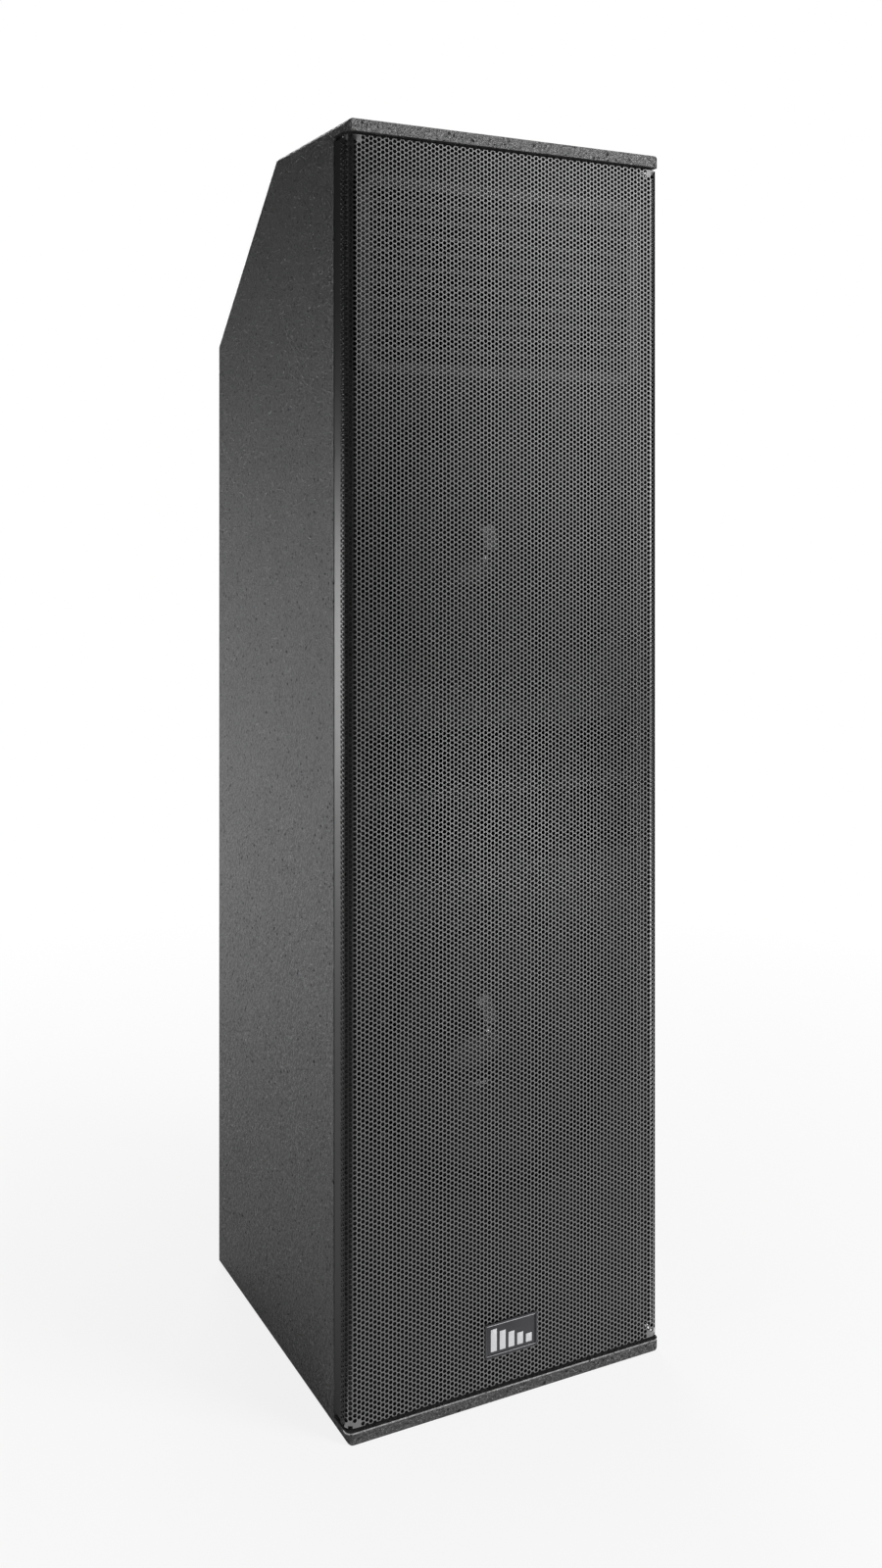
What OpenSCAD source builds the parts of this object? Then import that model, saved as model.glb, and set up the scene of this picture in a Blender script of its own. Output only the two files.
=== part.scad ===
// Tall two-way column loudspeaker: a plywood cabinet with a perforated
// wrap-round grille, a vaned horn over two woofers, a slotted port between
// them and a recessed amplifier module at the back.
// Frame: X to the right, Y from the front to the back, Z up.
// Origin: the middle of the underside.  Millimetres.

/* [Cabinet] */
// Width over the side panels
cab_w = 355.6; // [345:1:380]
// Height from the underside to the top
cab_h = 1250; // [1240:1:1300]
// Depth from the lips to the back panel
cab_d = 381; // [365:1:420]
// Depth of the level part of the top, measured from the lips
top_depth = 190.5; // [180:1:200]
// Height of the sloped back above the upright back
slope_drop = 180; // [150:1:200]
// Thickness of the outer panels
panel_t = 15; // [12:1:18]
// Thickness of the two baffles
baffle_t = 18; // [15:1:20]
// Radius on the outer edges
edge_r = 6.35; // [4:0.5:8]

/* [Grille] */
// Thickness of the lips over and under the grille
lip_t = 11.5; // [10:0.5:12]
// Gap between each lip and the grille
lip_gap = 3.2; // [2:0.1:3.4]
// Distance of the grille's face behind the lips
grille_set_back = 1.5; // [1:0.1:3]
// Sheet thickness of the grille
grille_t = 1.5; // [1:0.1:2]
// Outer bend radius of the grille
grille_bend_r = 9; // [7:0.5:12]
// Reach of the grille's side flanges behind the lips
flange_reach = 31; // [28:0.5:31.5]
// Depth of the rebate that takes the side flanges
rebate_reach = 33; // [32:0.5:36]
// Depth of that rebate into the side panels
rebate_t = 4; // [3.5:0.1:5]

/* [Port] */
// Height of the port's lower edge
port_z = 524; // [520:1:526]
// Height of the port
port_h = 140; // [130:1:142]
// Thickness of the port's boards
port_board_t = 12; // [9:1:12]
// Depth of the port's boards behind the baffles
port_depth = 200; // [150:5:220]

/* [Woofers] */
// Height of the lower woofer's axis
lower_z = 336; // [330:1:340]
// Height of the upper woofer's axis
upper_z = 842.5; // [838:0.5:846]
// Radius of a woofer's frame
frame_r = 156.5; // [154:0.5:158]
// Radius of the hole in the baffle
cut_r = 141; // [140.5:0.5:142]
// Radius of the cone's outer edge
cone_r = 118; // [116:0.5:119]
// Radius of the dust cap
cap_r = 46; // [44:0.5:52]
// Inner radius of the voice coil
coil_r = 38.1; // [38:0.1:38.2]
// Travel of the cone each way
cone_travel = 6; // [4:0.5:6]

/* [Horn] */
// Height of the horn's axis
horn_z = 1107; // [1104:1:1110]
// Width of the horn's frame
horn_w = 321; // [310:1:324]
// Height of the horn's frame
horn_h = 190; // [186:1:192]
// Distance from one vane to the next
vane_pitch = 15.7; // [15:0.1:16]
// Length of the horn behind the baffle
horn_depth = 150; // [130:5:155]
// Radius of the horn's throat
throat_r = 12.7; // [12:0.1:13]

/* [Amplifier module] */
// Height of the module's middle
amp_z = 372; // [365:1:380]
// Width over the module's flange
amp_w = 262; // [255:1:270]
// Height over the module's flange
amp_h = 376; // [370:1:384]
// Depth of the module's floor below the back panel's face
amp_recess = 19; // [18.5:0.5:24]
// Distance from the floor to the bottom of the closed box behind it
amp_box_d = 74; // [70:1:80]

/* [Badge] */
// Height of the badge's middle
badge_z = 59.5; // [55:0.5:70]
// Width of the window for the badge
badge_w = 60; // [50:1:70]
// Height of the window for the badge
badge_h = 35; // [30:1:40]

/* [Hidden] */
$fn = 96;
eps = 0.01;

// Cabinet planes
half_w = cab_w / 2;
in_w = half_w - panel_t;
front_y = -cab_d / 2;
back_y = cab_d / 2;
level_y = front_y + top_depth;
top_in_z = cab_h - panel_t;
rebate_y = front_y + rebate_reach;
baffle_y = front_y + 19.5;
baffle_back_y = baffle_y + baffle_t;
port_top_z = port_z + port_h;
horn_shelf_z = 996;
horn_shelf_t = 12;
lining_t = 22;

// Sloped back: unit vector down the slope, and where its inner face meets
// the inner faces of the top and of the upright back
slope_run = back_y - level_y;
slope_len = sqrt(slope_run * slope_run + slope_drop * slope_drop);
slope_y = slope_run / slope_len;
slope_z = slope_drop / slope_len;
slope_in_y0 = level_y - panel_t * slope_z;
slope_in_z0 = cab_h - panel_t * slope_y;
top_mitre_y = slope_in_y0 + (slope_in_z0 - top_in_z) * slope_y / slope_z;
back_mitre_y = back_y - panel_t;
back_mitre_z = slope_in_z0 - (back_mitre_y - slope_in_y0) * slope_z / slope_y;

// Woofer depths, measured from the face of the baffle
flange_t = 4;
gasket_t = 2;
neck_r = coil_r + 0.5;
cone_rim_h = 2;
cone_slope = 0.62;
cone_t = 1.3;
cap_h = cone_rim_h + (cone_r - cap_r) * cone_slope;
neck_h = cone_rim_h + (cone_r - neck_r) * cone_slope;
cap_dome = 15;
roll_r = 6.5;
roll_mid_r = 126.5;
surround_t = 1;
ledge_h = 1.6;
spider_h = 62;
seat_h0 = 78;
seat_h1 = 86;
plate_h1 = 96;
magnet_h1 = 118;
yoke_h1 = 129;
screw_ring_r = 148;
screw_count = 8;
screw_r = 2.5;
screw_hole_r = 2.8;

// Horn depths
horn_back_y = baffle_y + horn_depth;
horn_wall = 2.5;
mouth_w = horn_w - 26;
mouth_h = horn_h - 22;
vane_t = 3.2;
vane_count = 10;
vane_depth = 18;
horn_steps = 10;
hf_coil_r = 21.8;

// Amplifier module depths
tray_y = back_y - amp_recess;
tray_t = 2;
tray_flange_y = back_y - 2.4;
tray_back_y = tray_y - tray_t;
tray_lip = 14;
amp_floor_w = amp_w - 2 * tray_lip;
amp_floor_h = amp_h - 2 * tray_lip;
box_y = tray_back_y - amp_box_d;

// Places on the module's floor
input_x = -72;
link_x = -22;
knob_x = 74;
top_row_z = amp_z + 132;
light_z = amp_z + 96;
inlet_x = -66;
rocker_x = 40;
low_row_z = amp_z - 138;
sink_w = 210;
sink_h = 150;
sink_z = amp_z - 16;
socket_r = 12;
latch_up = 13;
tray_screws = [for (x = [-1, 1], z = [-1, -1 / 3, 1 / 3, 1])
    [x * (amp_w / 2 - 6), amp_z + z * (amp_h / 2 - 12)]];

// Mains rocker and its pivot
rocker_y = tray_y - 3;
rocker_tilt = 9;
rocker_w = 9;
pivot_r = 1.2;

// Grille
grille_y = front_y + grille_set_back;
grille_z0 = lip_t + lip_gap;
grille_z1 = cab_h - lip_t - lip_gap;

// Screws of the horn, as places from its axis
horn_screws = [for (x = [-1, 0, 1], z = [-1, 1])
    [x * (horn_w / 2 - 7), z * (horn_h / 2 - 5.5)]];

// Rigging inserts for M10 screws
insert_r = 6.5;
insert_bore_r = 4.25;
insert_x = 120;
base_inserts = [for (x = [-1, 1], y = [-130, 110]) [x * insert_x, y]];
top_inserts = [for (x = [-1, 1]) [x * insert_x, -70]];
back_insert_z = 1020;

// Internal wires
wire_x = 70;
wire_y = 62;
wire_exit_z = amp_z + 100;
trunk_r = 3.5;
branch_r = 2;
tag_x = 78;
tag_up = 45;
tag_y = baffle_y + spider_h + 4.8;

function arc(cx, cy, r, a0, a1, n) =
    [for (i = [0:n]) let (a = a0 + (a1 - a0) * i / n) [cx + r * cos(a), cy + r * sin(a)]];

// ---- shared shapes -------------------------------------------------------

// Box between two corners
module block(x0, x1, y0, y1, z0, z1)
    translate([x0, y0, z0]) cube([x1 - x0, y1 - y0, z1 - z0]);

// Rectangle with round corners
module round_rect(w, h, r) {
    square([w - 2 * r, h], center = true);
    square([w, h - 2 * r], center = true);
    for (sx = [-1, 1], sy = [-1, 1])
        translate([sx * (w / 2 - r), sy * (h / 2 - r)]) circle(r);
}

// Upright plate with round corners, from y0 back to y1
module plate(w, h, r, y0, y1, z = 0, x = 0)
    translate([x, y1, z]) rotate([90, 0, 0]) linear_extrude(y1 - y0) round_rect(w, h, r);

// Cylinder along Y
module rod(r, y0, y1, x = 0, z = 0)
    translate([x, y0, z]) rotate([-90, 0, 0]) cylinder(r = r, h = y1 - y0);

// Turned part on the Y axis, its outline given as [radius, depth]
module turned(points, z = 0)
    translate([0, baffle_y, z]) rotate([-90, 0, 0]) rotate_extrude() polygon(points);

// Outline in the Y-Z plane, extruded across the cabinet
module across(points, x0, x1)
    translate([x0, 0, 0]) rotate([90, 0, 90]) linear_extrude(x1 - x0) polygon(points);

// The cabinet's outer form with its round edges, before the slope is cut
module envelope()
    intersection() {
        linear_extrude(cab_h) round_rect(cab_w, cab_d, edge_r);
        plate(cab_w, cab_h, edge_r, front_y, back_y, cab_h / 2);
    }

// Everything under the plane of the slope, with round edges along it
module under_slope()
    translate([0, level_y, cab_h])
        rotate([-atan2(slope_drop, slope_run), 0, 0])
        translate([0, -2 * cab_h, -2 * cab_h])
        rotate([-90, 0, 0])
        linear_extrude(4 * cab_h) round_rect(cab_w, 4 * cab_h, edge_r);

// Places on the screw circle of a woofer at height z
module screw_circle(z)
    for (i = [0:screw_count - 1])
        translate([0, 0, z]) rotate([0, 360 * (i + 0.5) / screw_count, 0])
            translate([screw_ring_r, 0, 0]) children();

// ---- cabinet -------------------------------------------------------------

module top_panel() {
    color([0.1, 0.1, 0.1]) difference() {
        intersection() {
            envelope();
            across([[front_y, top_in_z], [front_y, cab_h], [level_y, cab_h],
                [top_mitre_y, top_in_z]], -half_w, half_w);
        }
        block(-half_w - 1, half_w + 1, front_y - 1, rebate_y, top_in_z - 1, cab_h - lip_t);
        insert_holes(top_in_z - 1, cab_h + 1, top_inserts);
    }
}

module bottom_panel() {
    color([0.1, 0.1, 0.1]) difference() {
        intersection() {
            envelope();
            block(-half_w, half_w, front_y, back_y, 0, panel_t);
        }
        block(-half_w - 1, half_w + 1, front_y - 1, rebate_y, lip_t, panel_t + 1);
        insert_holes(-1, panel_t + 1, base_inserts);
    }
}

module side_panel(x0, x1, rebate_x0, rebate_x1) {
    difference() {
        intersection() {
            envelope();
            under_slope();
            across([[baffle_y, panel_t], [back_y, panel_t], [back_y, cab_h - slope_drop],
                [level_y, cab_h], [top_mitre_y, top_in_z], [baffle_y, top_in_z]], x0, x1);
        }
        block(rebate_x0, rebate_x1, front_y, rebate_y, 0, cab_h);
    }
}

module left_side_panel()
    color([0.1, 0.1, 0.1])
    side_panel(-half_w, -in_w, -half_w - 1, -half_w + rebate_t);

module right_side_panel()
    color([0.1, 0.1, 0.1])
    side_panel(in_w, half_w, half_w - rebate_t, half_w + 1);

module back_panel() {
    color([0.1, 0.1, 0.1]) difference() {
        across([[back_mitre_y, panel_t], [back_y, panel_t],
            [back_y, cab_h - slope_drop], [back_mitre_y, back_mitre_z]], -in_w, in_w);
        plate(amp_w + 1, amp_h + 1, 8.5, tray_flange_y - tray_t, back_y + 1, amp_z);
        plate(amp_floor_w + 6, amp_floor_h + 6, 8, back_mitre_y - 1, back_y + 1, amp_z);
        rod(insert_r, back_mitre_y - 1, back_y + 1, 0, back_insert_z);
    }
}

module sloped_back_panel()
    color([0.1, 0.1, 0.1])
    across([[level_y, cab_h], [back_y, cab_h - slope_drop],
        [back_mitre_y, back_mitre_z], [top_mitre_y, top_in_z]], -in_w, in_w);

module baffle(z0, z1) {
    difference() {
        block(-in_w, in_w, baffle_y, baffle_back_y, z0, z1);
        children();
    }
}

module upper_baffle()
    color([0.2, 0.2, 0.2]) baffle(port_top_z, top_in_z) {
        rod(cut_r, baffle_y - 1, baffle_back_y + 1, 0, upper_z);
        plate(mouth_w + 8, mouth_h + 8, 3, baffle_y - 1, baffle_back_y + 1, horn_z);
    }

module lower_baffle()
    color([0.2, 0.2, 0.2]) baffle(panel_t, port_z)
        rod(cut_r, baffle_y - 1, baffle_back_y + 1, 0, lower_z);

module port_upper_shelf()
    color([0.12, 0.12, 0.12])
    block(-in_w, in_w, baffle_back_y, baffle_back_y + port_depth,
        port_top_z, port_top_z + port_board_t);

module port_lower_shelf()
    color([0.12, 0.12, 0.12])
    block(-in_w, in_w, baffle_back_y, baffle_back_y + port_depth,
        port_z - port_board_t, port_z);

module port_side_cheeks()
    color([0.12, 0.12, 0.12])
    for (s = [-1, 1])
        block(s > 0 ? in_w - port_board_t : -in_w, s > 0 ? in_w : port_board_t - in_w,
            baffle_y, baffle_back_y + port_depth, port_z, port_top_z);

module port_divider()
    color([0.12, 0.12, 0.12])
    block(port_board_t - in_w, in_w - port_board_t, baffle_y, baffle_back_y + port_depth,
        port_z + port_h / 2, port_z + port_h / 2 + port_board_t);

module horn_chamber_shelf()
    color([0.12, 0.12, 0.12])
    difference() {
        block(-in_w, in_w, baffle_back_y, back_mitre_y, horn_shelf_z,
            horn_shelf_z + horn_shelf_t);
        translate([wire_x, wire_y, horn_shelf_z - 1])
            cylinder(r = 4, h = horn_shelf_t + 2);
    }

// Wadding on the side walls of the two woofer chambers
module acoustic_lining()
    color([0.75, 0.74, 0.7])
    for (s = [-1, 1])
        for (z = [[panel_t, port_z - port_board_t],
            [port_top_z + port_board_t, horn_shelf_z]])
            block(s > 0 ? in_w - lining_t : -in_w, s > 0 ? in_w : lining_t - in_w,
                40, back_mitre_y, z[0] + 3, z[1] - 3);

// ---- grille and badge ----------------------------------------------------

// Plan of the bent sheet at an inset from its outer face
module grille_plan(inset) {
    r = grille_bend_r - inset;
    translate([0, grille_y + inset + 60]) round_rect(2 * (half_w - inset), 120, r);
}

module grille() {
    color([0.45, 0.45, 0.46]) difference() {
        translate([0, 0, grille_z0]) linear_extrude(grille_z1 - grille_z0) difference() {
            grille_plan(0);
            grille_plan(grille_t);
            translate([-half_w - 1, front_y + flange_reach]) square([cab_w + 2, 200]);
        }
        plate(badge_w, badge_h, 1, grille_y - 1, grille_y + grille_t + 1, badge_z);
    }
}

// Strips that stop the side flanges from rattling on the cabinet
module grille_foam_strips()
    color([0.08, 0.08, 0.08])
    for (s = [-1, 1])
        block(s > 0 ? half_w - rebate_t : grille_t - half_w,
            s > 0 ? half_w - grille_t : rebate_t - half_w,
            baffle_y + 1, front_y + flange_reach - 2, grille_z0 + 12, grille_z1 - 12);

// Plain plate with five level bars in a raised rim, its foot behind the grille
module badge() {
    face_y = grille_y - 0.3;
    color([0.7, 0.7, 0.7]) {
        difference() {
            plate(badge_w - 0.6, badge_h - 0.6, 0.8, grille_y - 1.1, grille_y + 3, badge_z);
            plate(badge_w - 4, badge_h - 4, 0.5, grille_y - 2, face_y, badge_z);
        }
        plate(badge_w + 8, badge_h + 8, 2, grille_y + grille_t, grille_y + 3, badge_z);
        for (i = [0:4])
            block(10 * (i - 2) - 3.4, 10 * (i - 2) + 3.4, face_y - 0.5, face_y + eps,
                badge_z - 11, badge_z + 11 - 3.4 * i);
    }
}

// ---- rigging inserts -----------------------------------------------------

module insert_holes(z0, z1, places)
    for (p = places)
        translate([p[0], p[1], z0]) cylinder(r = insert_r, h = z1 - z0);

module insert_tubes(z0, z1, places)
    for (p = places)
        translate([p[0], p[1], z0]) difference() {
            cylinder(r = insert_r, h = z1 - z0);
            translate([0, 0, -1]) cylinder(r = insert_bore_r, h = z1 - z0 + 2);
        }

module rigging_inserts() {
    color([0.75, 0.62, 0.3]) {
        insert_tubes(0.2, panel_t, base_inserts);
        insert_tubes(top_in_z, cab_h - 0.2, top_inserts);
        difference() {
            rod(insert_r, back_mitre_y, back_y - 0.2, 0, back_insert_z);
            rod(insert_bore_r, back_mitre_y - 1, back_y + 1, 0, back_insert_z);
        }
    }
}

// ---- screws of the drivers -----------------------------------------------

// Pan head with a cross recess, its seat at y
module screw(y, head_r, shank) {
    difference() {
        union() {
            rod(head_r, y - 2.2, y);
            rod(head_r - 1, y - 3, y - 2.2);
        }
        for (a = [0, 90])
            rotate([0, a, 0]) block(-0.6, 0.6, y - 4, y - 1.4, -head_r * 0.6, head_r * 0.6);
    }
    rod(screw_r, y - eps, y + shank);
}

module driver_screws() {
    color([0.15, 0.15, 0.15]) {
        for (z = [lower_z, upper_z])
            screw_circle(z) screw(baffle_y - flange_t - gasket_t, 5, flange_t + gasket_t + 13);
        for (p = horn_screws)
            translate([p[0], 0, horn_z + p[1]]) screw(baffle_y - 6, 4, 18);
    }
}

// ---- horn and compression driver -----------------------------------------

// Half width and half height of the flare at a share t of its length
function flare(t, mouth) = throat_r + (mouth - throat_r) * pow(1 - t, 1.7);
function flare_y(t) = baffle_y + horn_depth * t;
function flare_outline(mouth, wall) = concat(
    [for (i = [0:horn_steps]) [flare_y(i / horn_steps), flare(i / horn_steps, mouth) + wall]],
    [for (i = [horn_steps:-1:0]) [flare_y(i / horn_steps), -flare(i / horn_steps, mouth) - wall]]);

// The flare as the common part of a plan outline and a side outline
module flare_body(wall) {
    intersection() {
        translate([0, 0, horn_z - 200]) linear_extrude(400)
            polygon([for (p = flare_outline(mouth_w / 2, wall)) [p[1], p[0]]]);
        translate([0, 0, horn_z]) across(flare_outline(mouth_h / 2, wall), -200, 200);
    }
}

module horn() {
    color([0.1, 0.1, 0.1]) difference() {
        union() {
            plate(horn_w, horn_h, 5, baffle_y - 6, baffle_y, horn_z);
            intersection() {
                flare_body(horn_wall);
                block(-200, 200, baffle_y, horn_back_y, 0, cab_h);
            }
            rod(38, horn_back_y - 8, horn_back_y, 0, horn_z);
        }
        intersection() {
            flare_body(0);
            block(-200, 200, baffle_y - 1, horn_back_y - 8, 0, cab_h);
        }
        plate(mouth_w, mouth_h, 3, baffle_y - 7, baffle_y + eps, horn_z);
        rod(throat_r, horn_back_y - 9, horn_back_y + 1, 0, horn_z);
        for (p = horn_screws)
            rod(screw_hole_r, baffle_y - 7, baffle_y + 1, p[0], horn_z + p[1]);
    }
}

// Level vanes across the mouth, trimmed to the flare
module horn_vanes() {
    color([0.1, 0.1, 0.1]) intersection() {
        union() {
            plate(mouth_w, mouth_h, 3, baffle_y - 5, baffle_y, horn_z);
            intersection() {
                flare_body(0);
                block(-200, 200, baffle_y - eps, baffle_y + vane_depth, 0, cab_h);
            }
        }
        for (i = [0:vane_count - 1])
            translate([0, 0, horn_z + (i - (vane_count - 1) / 2) * vane_pitch])
                across([[baffle_y - 5, -vane_t / 2], [baffle_y - 5, vane_t / 2],
                    [baffle_y + vane_depth, 0.8], [baffle_y + vane_depth, -0.8]],
                    -mouth_w / 2, mouth_w / 2);
    }
}

// Parts of the driver, their depths measured from the horn's back
module turned_driver(points)
    translate([0, horn_back_y, horn_z]) rotate([-90, 0, 0]) rotate_extrude() polygon(points);

module hf_front_plate()
    color([0.6, 0.6, 0.62])
    turned_driver([[throat_r, 0], [45, 0], [45, 9], [22.8, 9], [22.8, 5], [throat_r, 5]]);

// Plug in the throat with six radial slits
module hf_phase_plug()
    color([0.12, 0.12, 0.12]) difference() {
        turned_driver([[0, 1], [3, 2], [8, 4], [throat_r - 0.6, 5], [20, 5], [20, 8],
            [10, 10.4], [0, 11.4]]);
        for (a = [0:60:300])
            translate([0, 0, horn_z]) rotate([0, a, 0])
                block(5, 17, horn_back_y - 1, horn_back_y + 13, -0.8, 0.8);
    }

module hf_magnet()
    color([0.25, 0.25, 0.27])
    turned_driver([[28, 9], [50, 9], [50, 27], [28, 27]]);

// Dome with its former, moving by less than half a millimetre
module hf_diaphragm() {
    dome_h = 7;
    rim_h = 24.5;
    dome_r = (pow(hf_coil_r, 2) + pow(dome_h, 2)) / (2 * dome_h);
    rim_a = acos(hf_coil_r / dome_r);
    mid_h = rim_h + dome_h - dome_r;
    color([0.72, 0.7, 0.66]) turned_driver(concat(
        [[hf_coil_r, 6.2]],
        arc(0, mid_h, dome_r, rim_a, 90, 8),
        arc(0, mid_h, dome_r - 0.4, 90, rim_a + 1, 8),
        [[hf_coil_r - 0.5, 6.2]]));
}

module hf_rear_cover()
    color([0.12, 0.12, 0.12])
    turned_driver([[24, 27], [50, 27], [50, 32], [44, 43], [0, 44], [0, 40], [41, 39.5],
        [46, 31], [24, 31]]);

// ---- woofers --------------------------------------------------------------

// Cast basket: flange, ledge for the surround, six arms and the magnet seat
module woofer_frame(z) {
    color([0.08, 0.08, 0.08]) {
        difference() {
            turned([[137, -flange_t], [frame_r, -flange_t], [frame_r, 0], [140, 0],
                [140, 24], [133.5, 24], [133.5, ledge_h], [137, ledge_h]], z);
            screw_circle(z) rod(screw_hole_r, baffle_y - flange_t - 1, baffle_y + 1);
        }
        intersection() {
            turned([[134, 22], [140, 22], [140, 26], [80, seat_h1], [64, seat_h1],
                [64, seat_h0], [76, seat_h0]], z);
            translate([0, 0, z])
                for (a = [0:60:300])
                    rotate([0, a, 0]) block(40, 150, baffle_y, baffle_y + 120, -13, 13);
        }
        turned([[45, seat_h0], [76, seat_h0], [80, seat_h1], [45, seat_h1]], z);
        turned([[62, spider_h + 1.2], [98, spider_h + 1.2], [94, spider_h + 4.5],
            [62, spider_h + 4.5]], z);
    }
}

module woofer_gasket(z)
    color([0.05, 0.05, 0.05]) difference() {
        turned([[138, -flange_t - gasket_t], [frame_r - 1, -flange_t - gasket_t],
            [frame_r - 1, -flange_t], [138, -flange_t]], z);
        screw_circle(z) rod(screw_hole_r, baffle_y - flange_t - gasket_t - 1, baffle_y);
    }

// Half roll between the cone's rim and the ledge
module woofer_surround(z)
    color([0.12, 0.12, 0.12]) turned(concat(
        [[cone_r - 3, cone_rim_h - 1 - surround_t], [roll_mid_r - roll_r, 0.4]],
        [for (a = [180:15:360]) [roll_mid_r + roll_r * cos(a), 0.4 + roll_r * sin(a)]],
        [[137, 0.5], [137, 0.5 + surround_t], [roll_mid_r + roll_r - 1, 0.5 + surround_t]],
        [for (a = [345:-15:195])
            [roll_mid_r + (roll_r - 1) * cos(a), 1.4 + (roll_r - 1) * sin(a)]],
        [[roll_mid_r - roll_r + 1, 0.5 + surround_t], [cone_r - 3, cone_rim_h - 1]]), z);

module woofer_cone(z)
    color([0.1, 0.1, 0.1]) turned([[cone_r, cone_rim_h - 0.7],
        [cone_r, cone_rim_h + cone_t], [neck_r, neck_h + cone_t], [neck_r, neck_h]], z);

module woofer_dust_cap(z)
    color([0.1, 0.1, 0.1]) turned(concat(
        [for (i = [0:8]) [cap_r * i / 8, cap_h - 1 - cap_dome * (1 - pow(i / 8, 2))]],
        [for (i = [8:-1:0])
            [(cap_r - 0.8) * i / 8, cap_h - 0.2 - cap_dome * (1 - pow(i / 8, 2))]]), z);

// Corrugated centring disc between the coil former and the ring on the basket
module woofer_spider(z) {
    waves = 5;
    r0 = neck_r + 0.3;
    span = 70 - r0;
    steps = 40;
    color([0.75, 0.6, 0.35]) turned(concat(
        [for (i = [0:steps]) [r0 + span * i / steps,
            spider_h + 0.4 - 1.2 * (1 - cos(360 * waves * i / steps)) / 2]],
        [for (i = [steps:-1:0]) [r0 + span * i / steps,
            spider_h + 1.2 - 1.2 * (1 - cos(360 * waves * i / steps)) / 2]]), z);
}

// Former and winding
module woofer_voice_coil(z)
    color([0.7, 0.35, 0.15]) {
        turned([[coil_r, neck_h + 0.5], [neck_r, neck_h + 0.5], [neck_r, 102], [coil_r, 102]], z);
        turned([[neck_r, 80], [neck_r + 1, 80], [neck_r + 1, 102], [neck_r, 102]], z);
    }

module woofer_front_plate(z)
    color([0.5, 0.5, 0.52])
    turned([[40.8, seat_h1], [76, seat_h1], [76, plate_h1], [40.8, plate_h1]], z);

module woofer_magnet(z)
    color([0.2, 0.2, 0.22])
    turned([[46, plate_h1], [85, plate_h1], [85, magnet_h1], [46, magnet_h1]], z);

module woofer_pole_yoke(z)
    color([0.5, 0.5, 0.52])
    turned([[12, seat_h1 - 2], [37.2, seat_h1 - 2], [37.2, magnet_h1], [78, magnet_h1],
        [78, yoke_h1], [12, yoke_h1]], z);

module upper_frame() woofer_frame(upper_z);
module upper_gasket() woofer_gasket(upper_z);
module upper_surround() woofer_surround(upper_z);
module upper_cone() woofer_cone(upper_z);
module upper_dust_cap() woofer_dust_cap(upper_z);
module upper_spider() woofer_spider(upper_z);
module upper_voice_coil() woofer_voice_coil(upper_z);
module upper_front_plate() woofer_front_plate(upper_z);
module upper_magnet() woofer_magnet(upper_z);
module upper_pole_yoke() woofer_pole_yoke(upper_z);
module lower_frame() woofer_frame(lower_z);
module lower_gasket() woofer_gasket(lower_z);
module lower_surround() woofer_surround(lower_z);
module lower_cone() woofer_cone(lower_z);
module lower_dust_cap() woofer_dust_cap(lower_z);
module lower_spider() woofer_spider(lower_z);
module lower_voice_coil() woofer_voice_coil(lower_z);
module lower_front_plate() woofer_front_plate(lower_z);
module lower_magnet() woofer_magnet(lower_z);
module lower_pole_yoke() woofer_pole_yoke(lower_z);

// ---- amplifier module -----------------------------------------------------

// Dished steel tray with a flange let into the back panel
module amp_tray() {
    color([0.12, 0.12, 0.12]) difference() {
        union() {
            plate(amp_w, amp_h, 8, tray_flange_y - tray_t, tray_flange_y, amp_z);
            plate(amp_floor_w, amp_floor_h, 6, tray_back_y, tray_flange_y, amp_z);
        }
        plate(amp_floor_w - 2 * tray_t, amp_floor_h - 2 * tray_t, 4, tray_y, back_y + 1, amp_z);
        rod(socket_r, tray_back_y - 1, tray_y + 1, input_x, top_row_z);
        rod(socket_r, tray_back_y - 1, tray_y + 1, link_x, top_row_z);
        rod(4, tray_back_y - 1, tray_y + 1, knob_x, top_row_z);
        rod(3, tray_back_y - 1, tray_y + 1, knob_x, light_z);
        plate(28, 20, 2, tray_back_y - 1, tray_y + 1, low_row_z, inlet_x);
        plate(13, 22, 1, tray_back_y - 1, tray_y + 1, low_row_z, rocker_x);
        for (p = tray_screws)
            rod(2.2, tray_flange_y - tray_t - 1, back_y, p[0], p[1]);
    }
}

// Folded box behind the tray, open towards it
module amp_chassis() {
    w = amp_floor_w - 6;
    h = amp_floor_h - 6;
    color([0.65, 0.66, 0.68]) difference() {
        plate(w, h, 2, box_y, tray_back_y, amp_z);
        plate(w - 3, h - 3, 1, box_y + 1.5, tray_back_y + 1, amp_z);
        rod(5, box_y - 1, box_y + 3, wire_x, wire_exit_z);
    }
}

// Low heads with a cross recess
module amp_tray_screws()
    color([0.1, 0.1, 0.1])
    for (p = tray_screws)
        translate([p[0], 0, p[1]]) {
            difference() {
                rod(3.8, tray_flange_y, tray_flange_y + 2);
                for (a = [0, 90])
                    rotate([0, a, 0])
                        block(-0.5, 0.5, tray_flange_y + 0.9, back_y, -2.4, 2.4);
            }
            rod(1.9, tray_flange_y - 10, tray_flange_y + eps);
        }

// Finned block on the tray's outer face
module heatsink() {
    fins = 21;
    pitch = (sink_w - 3) / (fins - 1);
    color([0.15, 0.15, 0.15]) {
        block(-sink_w / 2, sink_w / 2, tray_y, tray_y + 4, sink_z - sink_h / 2,
            sink_z + sink_h / 2);
        for (i = [0:fins - 1])
            translate([(i - (fins - 1) / 2) * pitch, 0, 0])
                block(-1.2, 1.2, tray_y + 4 - eps, back_y - 2, sink_z - sink_h / 2,
                    sink_z + sink_h / 2);
    }
}

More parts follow.
